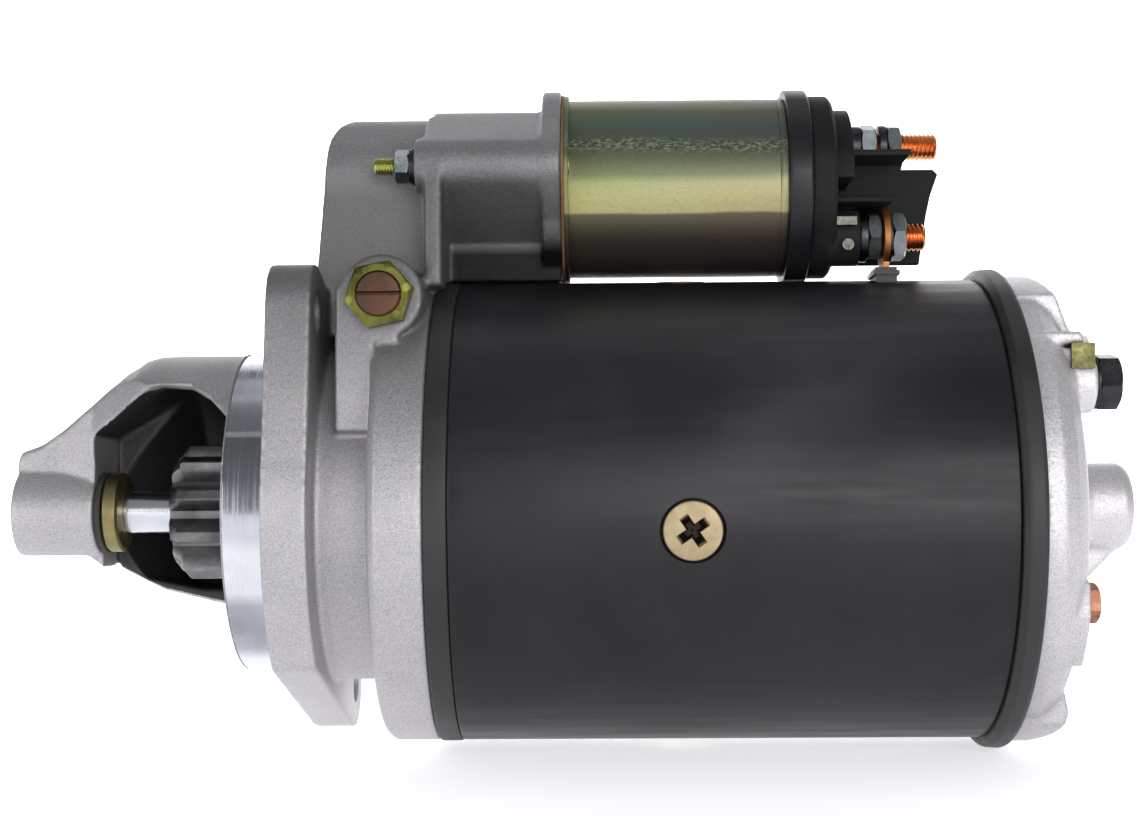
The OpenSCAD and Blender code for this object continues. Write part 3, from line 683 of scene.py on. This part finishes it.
# the spigot's painted reflection streaks, by height
MACHINED = machined_metal("turned_aluminium", bands=(
    (-45, 1.0), (-40, 1.0), (-37, 0.60), (-32, 0.46), (-25, 0.56), (-21.5, 1.0), (-11, 1.0),
    (-7, 0.80), (3, 0.72), (8, 0.46), (19.4, 0.38), (19.8, 1.0), (20.8, 1.0), (21.2, 0.52),
    (28, 0.66), (32, 0.50), (38, 0.62), (45, 0.9)))
GROUND = machined_metal("ground_steel", colour=(0.66, 0.68, 0.72), lines=1800)
ENAMEL = black_enamel("black_enamel")
RUBBER = moulded("black_rubber", (0.012, 0.012, 0.013), rough=0.48)
PHENOLIC = moulded("black_moulding", (0.008, 0.008, 0.009), rough=0.5, grain=1200, shine=0.12)
FIBRE = moulded("black_fibre", (0.02, 0.018, 0.016), rough=0.7)
NYLON = moulded("natural_nylon", (0.66, 0.62, 0.5), rough=0.45)
CORK = moulded("cork_rubber", (0.15, 0.070, 0.028), rough=0.6)
CARBON = moulded("brush_carbon", (0.05, 0.045, 0.042), rough=0.5)
STEEL = plated("bright_steel", [(0.3, (0.42, 0.43, 0.45)), (0.7, (0.66, 0.67, 0.69))])
GEAR = plated("gear_steel", [(0.3, (0.10, 0.097, 0.10)), (0.7, (0.27, 0.26, 0.265))],
              rough=(0.28, 0.45))
BLACK_STEEL = plated("black_steel", [(0.3, (0.022, 0.022, 0.025)), (0.7, (0.075, 0.075, 0.08))],
                     rough=(0.25, 0.45))
OLIVE_ZINC = plated("olive_zinc", [(0.25, (0.045, 0.043, 0.012)), (0.5, (0.13, 0.13, 0.03)),
                                   (0.8, (0.26, 0.25, 0.07))], rough=(0.28, 0.45), scale=160)
GREY_ZINC = plated("grey_zinc", [(0.3, (0.14, 0.17, 0.18)), (0.55, (0.26, 0.29, 0.30)),
                                 (0.8, (0.42, 0.44, 0.43))], rough=(0.26, 0.42), scale=160)
BLADE_TIN = plated("tinned_blade", [(0.3, (0.05, 0.05, 0.045)), (0.55, (0.13, 0.13, 0.115)),
                                    (0.8, (0.24, 0.235, 0.20))], rough=(0.32, 0.5), scale=300)
CLIP_ZINC = plated("clip_zinc", [(0.3, (0.05, 0.045, 0.02)), (0.55, (0.13, 0.12, 0.05)),
                                 (0.8, (0.36, 0.33, 0.18))], rough=(0.30, 0.48), scale=200)
STRAP_COPPER = plated("strap_copper", [(0.3, (0.20, 0.075, 0.025)), (0.55, (0.38, 0.16, 0.055)),
                                       (0.8, (0.52, 0.26, 0.10))], rough=(0.4, 0.55), scale=220)
DULL_COPPER = plated("dull_copper", [(0.3, (0.20, 0.08, 0.05)), (0.55, (0.38, 0.17, 0.11)),
                                     (0.8, (0.46, 0.28, 0.18))], rough=(0.35, 0.5), scale=220)
YELLOW_ZINC = plated("yellow_zinc", [(0.25, (0.26, 0.22, 0.06)), (0.45, (0.50, 0.44, 0.14)),
                                     (0.60, (0.40, 0.46, 0.16)), (0.8, (0.62, 0.50, 0.30))],
                     scale=140)
PALE_ZINC = plated("pale_zinc", [(0.25, (0.30, 0.23, 0.13)), (0.5, (0.42, 0.33, 0.20)),
                                 (0.8, (0.50, 0.44, 0.30))], rough=(0.40, 0.55), scale=150,
                   metallic=0.7, recess_shade_r=span("yoke")[1].z - 0.35)
COLLAR_ZINC = plated("collar_zinc", [(0.25, (0.12, 0.10, 0.04)), (0.5, (0.26, 0.22, 0.10)),
                                     (0.8, (0.40, 0.33, 0.17))], rough=(0.34, 0.5), scale=120)
COPPER = plated("copper_plate", [(0.25, (0.55, 0.15, 0.05)), (0.5, (0.88, 0.34, 0.12)),
                                 (0.8, (0.95, 0.52, 0.25))], rough=(0.2, 0.38), scale=150)
BROWN_COPPER = plated("worn_copper", [(0.25, (0.04, 0.028, 0.022)), (0.45, (0.13, 0.062, 0.042)),
                                      (0.65, (0.075, 0.06, 0.045)), (0.8, (0.16, 0.10, 0.06))],
                      rough=(0.34, 0.52), scale=230)
BRONZE = plated("bearing_bronze", [(0.3, (0.36, 0.22, 0.09)), (0.7, (0.60, 0.40, 0.18))],
                rough=(0.3, 0.5))
WIRE = layered("enamelled_wire", (0.50, 0.17, 0.06), 1.2)
LAMINATED = layered("laminated_steel", (0.32, 0.32, 0.34), 0.6)
PAN = passivated_can("passivated_can", middle(span("solenoid_can"))[1])


# ---- castings

def drive_end_casting():
    """The three CAD parts of the drive end as one casting, with its spigot turned."""
    casting = cast("drive_end_casting",
                   ("drive_end_nose", "drive_end_flange", "drive_end_housing"), CAST,
                   0.65, 7)
    casting.data.materials.append(MACHINED)
    spigot_x = span("drive_end_flange")[0].x
    under_r = SPIGOT_R - 0.35
    shell_r, swell_x, swollen_r = 41.5, -46, 44.3
    for v in casting.data.vertices:
        x, y, z = v.co / MM
        r = math.hypot(y, z)
        grown = 1
        if spigot_x + 0.3 < x < -0.3 and abs(r - SPIGOT_R) < 0.9:
            # sits under the turned ring
            grown = under_r / r
        elif swell_x < x <= spigot_x + 0.3 and r > shell_r:
            # the snout's shell grows to nearly the spigot's size
            eased = min(1, (x - swell_x) / 8) * min(1, (r - shell_r) / 1.2)
            grown = 1 + (swollen_r / SNOUT_R - 1) * eased
        v.co.y *= grown
        v.co.z *= grown
    for f in casting.data.polygons:
        # the flange's face is turned as well
        if abs(f.normal.x) > 0.95 and -1 * MM < f.center.x < 0.7 * MM:
            f.material_index = 1
    outline = rounded([(spigot_x, 43), (0.1, 43), (0.1, SPIGOT_R), (spigot_x + 0.7, SPIGOT_R),
                       (spigot_x, SPIGOT_R - 0.7)], [0, 0, 0, 0.3, 0.2], steps=3)
    piece("turned_spigot", turned(outline, sides=256), MACHINED)


# ---- yoke and its bands

def yoke_shell():
    """The painted steel tube, with a lip at each end and a seat for each pole screw."""
    low, high = span("yoke")
    r = high.z
    x0 = span("front_seal_ring")[1].x
    x1 = span("rear_seal_ring")[0].x
    outline = rounded([(low.x, YOKE_BORE_R), (high.x, YOKE_BORE_R), (high.x, YOKE_LIP_R),
                       (x1, YOKE_LIP_R), (x1, r), (x0, r), (x0, YOKE_LIP_R),
                       (low.x, YOKE_LIP_R)], [0, 0, 0, 0, 0.7, 0.7, 0, 0])
    # extra rings keep the long wall's faces short where it is drilled
    shell = piece("yoke_shell", turned(finely(outline, 4), sides=192), ENAMEL,
                  stands_for=("yoke",))
    cut(shell, merged([dished_hole(x, out, r) for x, out in screw_places()]))


def bands():
    """The rings that close the yoke's two ends."""
    low, high = span("front_seal_ring")
    outline = rounded([(low.x, YOKE_LIP_R), (high.x, YOKE_LIP_R), (high.x, high.z),
                       (low.x, high.z)], [0, 0, 0.8, 0.8])
    piece("front_band", turned(outline, sides=192), RUBBER, stands_for=("front_seal_ring",))
    low, high = span("rear_seal_ring")
    r = high.z
    outline = rounded([(low.x, YOKE_LIP_R), (high.x, YOKE_LIP_R), (high.x, r - 0.4),
                       (high.x - 1.2, r), (low.x + 1.6, r - 0.3), (low.x, r - 1.9)],
                      [0, 0, 0.8, 0.8, 1.2, 0.8])
    piece("rear_band", turned(outline, sides=192), RUBBER, stands_for=("rear_seal_ring",))


def screw_places():
    """For each pole screw, where it stands along the motor and the direction it faces."""
    places = []
    for box in islands("pole_screws"):
        centre = (box[0] + box[1]) / 2
        places.append((centre.x, Vector((0, centre.y, centre.z)).normalized()))
    return places


def square_to(out):
    """Two directions square to a pole screw: along the motor and round it."""
    side = Vector((1, 0, 0))
    return side, out.cross(side)


def circles(x, out, rings, sides):
    """Points of circles round a pole screw. rings holds (distance from the motor's axis,
    radius) pairs."""
    side, up = square_to(out)
    verts = []
    for h, r in rings:
        for k in range(sides):
            a = TURN * k / sides
            verts.append(tuple(Vector((x, 0, 0)) + out * h
                               + (side * math.cos(a) + up * math.sin(a)) * r))
    return verts


def dished_hole(x, out, surface):
    """Cutter for a screw's seat in the yoke: a shallow cone over a bore."""
    rings = [(surface - 9, 5.1), (surface - 3.2, 5.1), (surface - 0.9, 8.1), (surface + 1.2, 8.7)]
    sides = 48
    faces = [tuple(range(sides))] + wall(len(rings), sides)
    faces.append(tuple(range((len(rings) - 1) * sides, len(rings) * sides)))
    return circles(x, out, rings, sides), faces


def cross_screws():
    """The pole screws: flat heads with a cross recess."""
    surface = span("yoke")[1].z
    profile = [(-16, ON_AXIS), (-16, 4.9), (-3.4, 4.9), (-1.1, 7.3), (-0.35, 7.5), (-0.05, 7.25),
               (0.05, 6.6), (0.12, ON_AXIS)]
    rings = [(surface + h, r) for h, r in profile]
    sides = 64
    heads = [(circles(x, out, rings, sides), wall(len(rings), sides)) for x, out in screw_places()]
    screws = piece("pole_screw_heads", merged(heads), PALE_ZINC, stands_for=("pole_screws",))
    for x, out in screw_places():
        for turn in (0.6, 0.6 + math.pi / 2):
            cut(screws, wedge(x, out, surface, turn))
        cut(screws, pit(x, out, surface))


def wedge(x, out, surface, turn):
    """One arm pair of a cross recess, narrowing downwards."""
    side, up = square_to(out)
    d = side * math.cos(turn) + up * math.sin(turn)
    e = -side * math.sin(turn) + up * math.cos(turn)
    base = Vector((x, 0, 0))
    verts = []
    for h, length, width in ((surface - 2.8, 2.2, 0.7), (surface + 0.6, 4.7, 1.4)):
        for s, t in ((-1, -1), (1, -1), (1, 1), (-1, 1)):
            verts.append(tuple(base + out * h + d * s * length + e * t * width))
    return verts, BLOCK


def pit(x, out, surface):
    """The middle of a cross recess: a cone down to a point."""
    sides = 16
    verts = circles(x, out, [(surface + 0.6, 2.1)], sides)
    verts.append(tuple(Vector((x, 0, 0)) + out * (surface - 3.6)))
    return verts, [tuple(range(sides))] + [(k, (k + 1) % sides, sides) for k in range(sides)]


# ---- shaft and drive

def shaft():
    """The armature's shaft, stepped for its three bearings."""
    low, high = span("armature_shaft")
    outline = rounded([(low.x, ON_AXIS), (low.x, 5.2), (low.x + 0.8, 6), (13, 6), (15, 8.5),
                       (57, 8.5), (57.5, 10), (189, 10), (190, 8), (212, 8), (213, 6),
                       (high.x - 1, 6), (high.x, 5.4), (high.x, ON_AXIS)], 0.25, steps=3)
    piece("shaft", turned(outline, sides=72), GROUND, "armature", ("armature_shaft",))


def collar_and_washer():
    low, high = span("stop_collar")
    outline = rounded([(low.x, 6.02), (high.x, 6.02), (high.x, 7.2), (high.x - 0.5, high.z - 0.9),
                       (high.x - 1.1, high.z), (low.x + 0.6, high.z), (low.x, high.z - 0.6)], 0.35)
    piece("shaft_collar", turned(outline, sides=96), COLLAR_ZINC, "armature", ("stop_collar",))
    low, high = span("thrust_washer")
    piece("fibre_washer", washer(low.x, high.x, 6.3, high.z, 0.25, sides=96), FIBRE, HOUSING,
          ("thrust_washer",))


def gear():
    """The pinion: stub teeth with rounded roots, whose front ends are chamfered to find the
    ring gear's gaps."""
    low, high = span("pinion")
    face, back = low.x, -13.0
    teeth, tip, root, bore_r = 10, 19.0, 13.4, 6.05
    phase = math.radians(21.5)

    def outline(tip_r, thin):
        points = []
        for k in range(teeth):
            base = TURN * k / teeth + phase
            for half, r in ((-17.2, root), (-13.2, root + 0.25), (-11.2, root + 1.1), (-8.7, 16.1),
                            (-6.4, 17.7), (-4.3 + thin, tip_r - 0.15), (-3.4 + thin, tip_r),
                            (3.4 - thin, tip_r), (4.3 - thin, tip_r - 0.15), (6.4, 17.7),
                            (8.7, 16.1), (11.2, root + 1.1), (13.2, root + 0.25)):
                a = base + math.radians(half * 1.02)
                points.append((min(r, tip_r) * math.cos(a), min(r, tip_r) * math.sin(a)))
        return points

    rings = [(face, outline(15.2, 0.4)), (face + 0.25, outline(15.6, 0.3)),
             (face + 2.6, outline(18.6, 0.1)), (face + 3.2, outline(tip, 0)),
             (back - 0.4, outline(tip, 0)), (back, outline(tip - 0.4, 0.1))]
    n = len(rings[0][1])
    verts = [(x, y, z) for x, ring in rings for y, z in ring]
    faces = wall(len(rings), n)
    first = len(verts)
    verts += [(x, bore_r * math.cos(TURN * k / n + phase), bore_r * math.sin(TURN * k / n + phase))
              for x in (face, back) for k in range(n)]
    last_ring = (len(rings) - 1) * n
    for k in range(n):
        j = (k + 1) % n
        faces.append((k, j, first + j, first + k))
        faces.append((last_ring + k, last_ring + j, first + n + j, first + n + k))
        faces.append((first + k, first + j, first + n + j, first + n + k))
    hub = washer(back, high.x, bore_r, 11.6, 0.4, sides=72)
    piece("pinion_gear_wheel", merged([(verts, faces), hub]), GEAR, "pinion_gear", ("pinion",),
          sharp=28)


# ---- solenoid

def solenoid():
    """The can with its mounting ears, the joint under them and the black ring at the rear."""
    low, high = span("solenoid_can")
    ring_low, ring_high = span("solenoid_end_ring")
    cz = middle(span("solenoid_winding"))[1]
    centre = (0, cz)
    can_r, rim_r, plunger_hole_r = 25.2, 26.4, 10.2
    flange_end = low.x + 1.3
    tube = rounded([(flange_end - 0.6, 23), (high.x, 23), (high.x, can_r), (high.x - 1.6, can_r),
                    (high.x - 2.0, can_r - 0.18), (high.x - 2.4, can_r), (flange_end - 0.6, can_r)],
                   [0, 0, 0.3, 0.1, 0.1, 0.1, 0])
    front = turned(rounded([(low.x + 0.2, plunger_hole_r), (low.x + 0.2, rim_r),
                            (flange_end, rim_r), (flange_end, 24), (81, 24),
                            (81, plunger_hole_r)], 0.2), centre, sides=128)
    ears = prism(ear_outline(26.6, 6.6, cz), low.x, flange_end, 0.25)
    piece("solenoid_body", merged([turned(finely(tube, 5), centre), front, ears]), PAN,
          stands_for=("solenoid_can",))
    low, high = span("solenoid_gasket")
    piece("solenoid_joint", prism(ear_outline(26.8, 6.8, cz), low.x, high.x, 0.15), CORK,
          stands_for=("solenoid_gasket",))
    outline = rounded([(ring_low.x, 22.4), (ring_high.x, 22.4), (ring_high.x, ring_high.z - cz),
                       (ring_low.x, ring_high.z - cz)], [0, 0, 1.0, 0.7])
    clear = span("yoke")[1].z + 0.4

    def above_yoke(_, r, a):
        return min(r, (cz - clear) / -math.sin(a)) if math.sin(a) < -0.5 else r

    piece("solenoid_ring", turned(outline, centre, radius=above_yoke), ENAMEL,
          stands_for=("solenoid_end_ring",))


def ear_outline(body_r, ear_r, cz):
    """A disc with an ear at each side, joined by straight lines that touch a circle of radius
    reach, as (y, z) points."""
    reach, ear_y, ear_up = 26.0, 27.0, 2.0
    lean = math.atan2(ear_up, ear_y)
    half = math.acos((reach - ear_r) / math.hypot(ear_y, ear_up))
    points = []

    def arc(cy, up, r, start, end, steps):
        for k in range(steps + 1):
            a = start + (end - start) * k / steps
            points.append((cy + r * math.cos(a), cz + up + r * math.sin(a)))

    arc(ear_y, ear_up, ear_r, lean - half, lean + half, 16)
    arc(0, 0, body_r, lean + half, math.pi - lean - half, 32)
    arc(-ear_y, ear_up, ear_r, math.pi - lean - half, math.pi - lean + half, 16)
    arc(0, 0, body_r, math.pi - lean + half, TURN + lean - half, 32)
    return points


def terminal_end():
    """The moulded cap and its two threaded terminals, each with nuts and washers."""
    cast("terminal_moulding", ("terminal_cap",), PHENOLIC, 0.36, 2)
    for name, node in (("battery_thread", "battery_stud"), ("motor_thread", "motor_stud")):
        low, high = span(node)
        centre = middle((low, high))
        parts = [threaded(low.x + 2, high.x, 4.0, 1.25, centre),
                 rod(low.x + 1, high.x - 1, 3.3, centre),
                 rod(low.x, low.x + 2.1, 5.6, centre, edge=0.3, sides=48)]
        piece(name, merged(parts), COPPER, stands_for=(node,), sharp=60)
    nuts = [hexagon(low.x, high.x, 12.0, middle((low, high)), bore=3.9, phase=math.radians(lean))
            for (low, high), lean in zip(islands("terminal_nuts"), (8, 24, -6, 15))]
    piece("terminal_hex_nuts", merged(nuts), GREY_ZINC, stands_for=("terminal_nuts",))
    washers = [washer(low.x, high.x, 3.95, (high.z - low.z) / 2, 0.3, middle((low, high)), sides=64)
               for low, high in islands("terminal_washers")]
    piece("terminal_plain_washers", merged(washers), BLACK_STEEL,
          stands_for=("terminal_washers",))


def solenoid_fixings():
    """The studs that hold the solenoid, each with a nut, a spring washer and a plain one."""
    studs = []
    for low, high in islands("solenoid_studs"):
        centre = middle((low, high))
        thread_end = low.x + 13
        studs.append(threaded(low.x, thread_end, 2.5, 0.8, centre, tip_end=False, tip_start=True))
        studs.append(rod(thread_end, high.x, 2.45, centre))
    piece("solenoid_thread", merged(studs), YELLOW_ZINC, stands_for=("solenoid_studs",),
          sharp=60)
    nuts = [hexagon(low.x, high.x, 8.0, middle((low, high)), bore=2.4, phase=math.radians(90))
            for low, high in islands("solenoid_nuts")]
    piece("solenoid_hex_nuts", merged(nuts), GREY_ZINC, stands_for=("solenoid_nuts",))
    parts = []
    for low, high in islands("solenoid_washers"):
        centre = middle((low, high))
        parts.append(washer(low.x, low.x + 0.75, 2.5, 4.7, 0.15, centre))
        parts.append(washer(low.x + 0.8, high.x, 2.5, 5.2, 0.15, centre))
    piece("solenoid_plain_washers", merged(parts), BLACK_STEEL, stands_for=("solenoid_washers",))


# ---- rear end fixings

def rear_fixings():
    """The through bolts, whose heads have a collar under them, and the small screw."""
    parts = []
    for low, high in islands("through_bolts"):
        centre = middle((low, high))
        head = high.x - 5.6
        parts.append(hexagon(head, high.x, 13.5, centre, phase=math.radians(12),
                             chamfer_start=False))
        parts.append(rod(high.x - 6.6, head, 7.2, centre, edge=0.25, sides=64))
        parts.append(rod(low.x, high.x - 6, 3, centre))
    piece("through_bolt_set", merged(parts), BLACK_STEEL, stands_for=("through_bolts",))
    low, high = span("cover_screw")
    centre = middle((low, high))
    parts = [hexagon(high.x - 3.9, high.x, 9.2, centre, phase=math.radians(20),
                     chamfer_start=False),
             rod(low.x, high.x - 3.5, 2.5, centre)]
    piece("small_hex_screw", merged(parts), DULL_COPPER, stands_for=("cover_screw",))


# ---- lever pivot

def around_y(part, x, z):
    """Turns a part built along X about the X axis into one along Y at (x, z)."""
    verts, faces = part
    return [(x + v[1], v[0], z + v[2]) for v in verts], faces


def pivot():
    """The lever's pivot: a screw with a slotted end, and its lock nut."""
    low, high = span("pivot_pin")
    x, z = (low.x + high.x) / 2, (low.z + high.z) / 2
    slot_half, slot_depth = 0.55, 3
    body = turned(rounded([(low.y, ON_AXIS), (low.y, 5.4), (low.y + 0.6, 5.97), (-30.5, 5.95),
                           (-30.5, 5), (high.y, 5), (high.y, ON_AXIS)], 0.2, steps=3), sides=72)
    pin = piece("pivot_screw", around_y(body, x, z), BROWN_COPPER, stands_for=("pivot_pin",))
    verts = [(px, py, pz) for py in (low.y - 1, low.y + slot_depth) for px, pz in
             ((x - 7, z - slot_half), (x + 7, z - slot_half), (x + 7, z + slot_half),
              (x - 7, z + slot_half))]
    cut(pin, (verts, BLOCK))
    low, high = span("pivot_lock_nut")
    nut = hexagon(low.y, high.y, 15.8, (0, 0), bore=6.0, phase=math.radians(12),
                  chamfer_end=False)
    piece("pivot_hex_nut", around_y(nut, x, z), OLIVE_ZINC, stands_for=("pivot_lock_nut",))


# ---- stage

def studio():
    """A pale floor that curves up into a backdrop, four soft lights and a dim surround."""
    centre = (Vector(cad_box[0]) + Vector(cad_box[1])) / 2
    ground = cad_box[0][2]
    bend, bend_r, steps = 1.2, 0.9, 16
    rows = [(-3.0, 0), (bend, 0)]
    for k in range(1, steps + 1):
        a = k * math.pi / 2 / steps
        rows.append((bend + bend_r * math.sin(a), bend_r - bend_r * math.cos(a)))
    rows.append((bend + bend_r, 3.0))
    verts = [(x, y, ground + h) for y, h in rows for x in (-4, 4)]
    faces = [(2 * i, 2 * i + 1, 2 * i + 3, 2 * i + 2) for i in range(len(rows) - 1)]
    mesh = bpy.data.meshes.new("studio_floor")
    mesh.from_pydata(verts, [], faces)
    mesh.shade_smooth()
    floor_paint = Paint("studio_paper", (0.93, 0.93, 0.94), roughness=0.8,
                        Emission_Color=(0.97, 0.97, 1.0, 1), Emission_Strength=0.62)
    floor_paint.bump(floor_paint.noise(30, detail=2), 0.05, 0.1)
    mesh.materials.append(floor_paint.material)
    floor = placed("studio_floor", mesh)

    def softbox(name, where, size, power, target=centre):
        light = bpy.data.lights.new(name, "AREA")
        light.shape = "RECTANGLE"
        light.size, light.size_y = size
        light.energy = power
        lamp = placed(name, light)
        lamp.location = where
        lamp.rotation_euler = (Vector(target) - Vector(where)).to_track_quat("-Z", "Y").to_euler()

    softbox("key", (0.50, -1.25, 0.12), (0.8, 0.8), 9)
    softbox("fill", (-0.9, -1.0, 0.02), (0.8, 0.8), 7)
    softbox("top", (0.1, 0.1, 1.3), (1.2, 0.6), 1.2)
    softbox("backdrop", (0.1, 0.9, 1.2), (2.6, 0.6), 40, target=(0.1, 2.1, 0.4))
    world = bpy.data.worlds.new("studio_air")
    world.use_nodes = True
    air = world.node_tree.nodes["Background"].inputs
    air["Color"].default_value = (0.95, 0.97, 1.0, 1)
    air["Strength"].default_value = 0.28
    bpy.context.scene.world = world
    bpy.context.scene.view_settings.view_transform = "Standard"


def camera():
    """The view along +Y, turned a little left and upwards."""
    yaw, pitch, roll = (math.radians(a) for a in (-0.84, 2.9, -0.36))
    forward = Vector((math.sin(yaw) * math.cos(pitch), math.cos(yaw) * math.cos(pitch),
                      math.sin(pitch)))
    right = Vector((math.cos(yaw), -math.sin(yaw), 0))
    up = right.cross(forward)
    side = right * math.cos(roll) + up * math.sin(roll)
    top = up * math.cos(roll) - right * math.sin(roll)
    data = bpy.data.cameras.new("view")
    data.sensor_width = 36
    data.lens = 55.8
    cam = placed("view", data)
    place = Matrix((side, top, -forward)).transposed().to_4x4()
    place.translation = Vector((0.085456, -0.503232, 0))
    cam.matrix_world = place
    bpy.context.scene.camera = cam


def dress(material, *nodes):
    """Gives carried-over CAD nodes a material."""
    for name in nodes:
        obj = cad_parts[name]
        obj.data.materials.clear()
        obj.data.materials.append(material)


camera()
studio()
drive_end_casting()
cast("rear_cover_casting", ("rear_cover",), CAST_BRIGHT, 0.65, 5)
yoke_shell()
bands()
cross_screws()
shaft()
collar_and_washer()
gear()
solenoid()
terminal_end()
solenoid_fixings()
rear_fixings()
pivot()
dress(CAST, "intermediate_bracket")
dress(BRONZE, "nose_bush", "centre_bush", "rear_bush")
dress(LAMINATED, "armature_core")
dress(STEEL, "pole_shoes", "solenoid_core", "plunger", "plunger_pin", "plunger_spring",
      "brush_holder", "brush_springs", "clutch_rollers")
dress(WIRE, "field_coils", "solenoid_winding", "armature_winding")
dress(CLIP_ZINC, "earth_clip")
dress(BLADE_TIN, "blade_terminal")
dress(CARBON, *[f"brush_{k}" for k in range(1, 5)])
dress(STRAP_COPPER, "motor_lead")
dress(COPPER, "moving_contact", "commutator")
dress(RUBBER, "lead_grommet")
dress(NYLON, "solenoid_bobbin")
dress(BLACK_STEEL, "clutch_body", "engaging_lever")
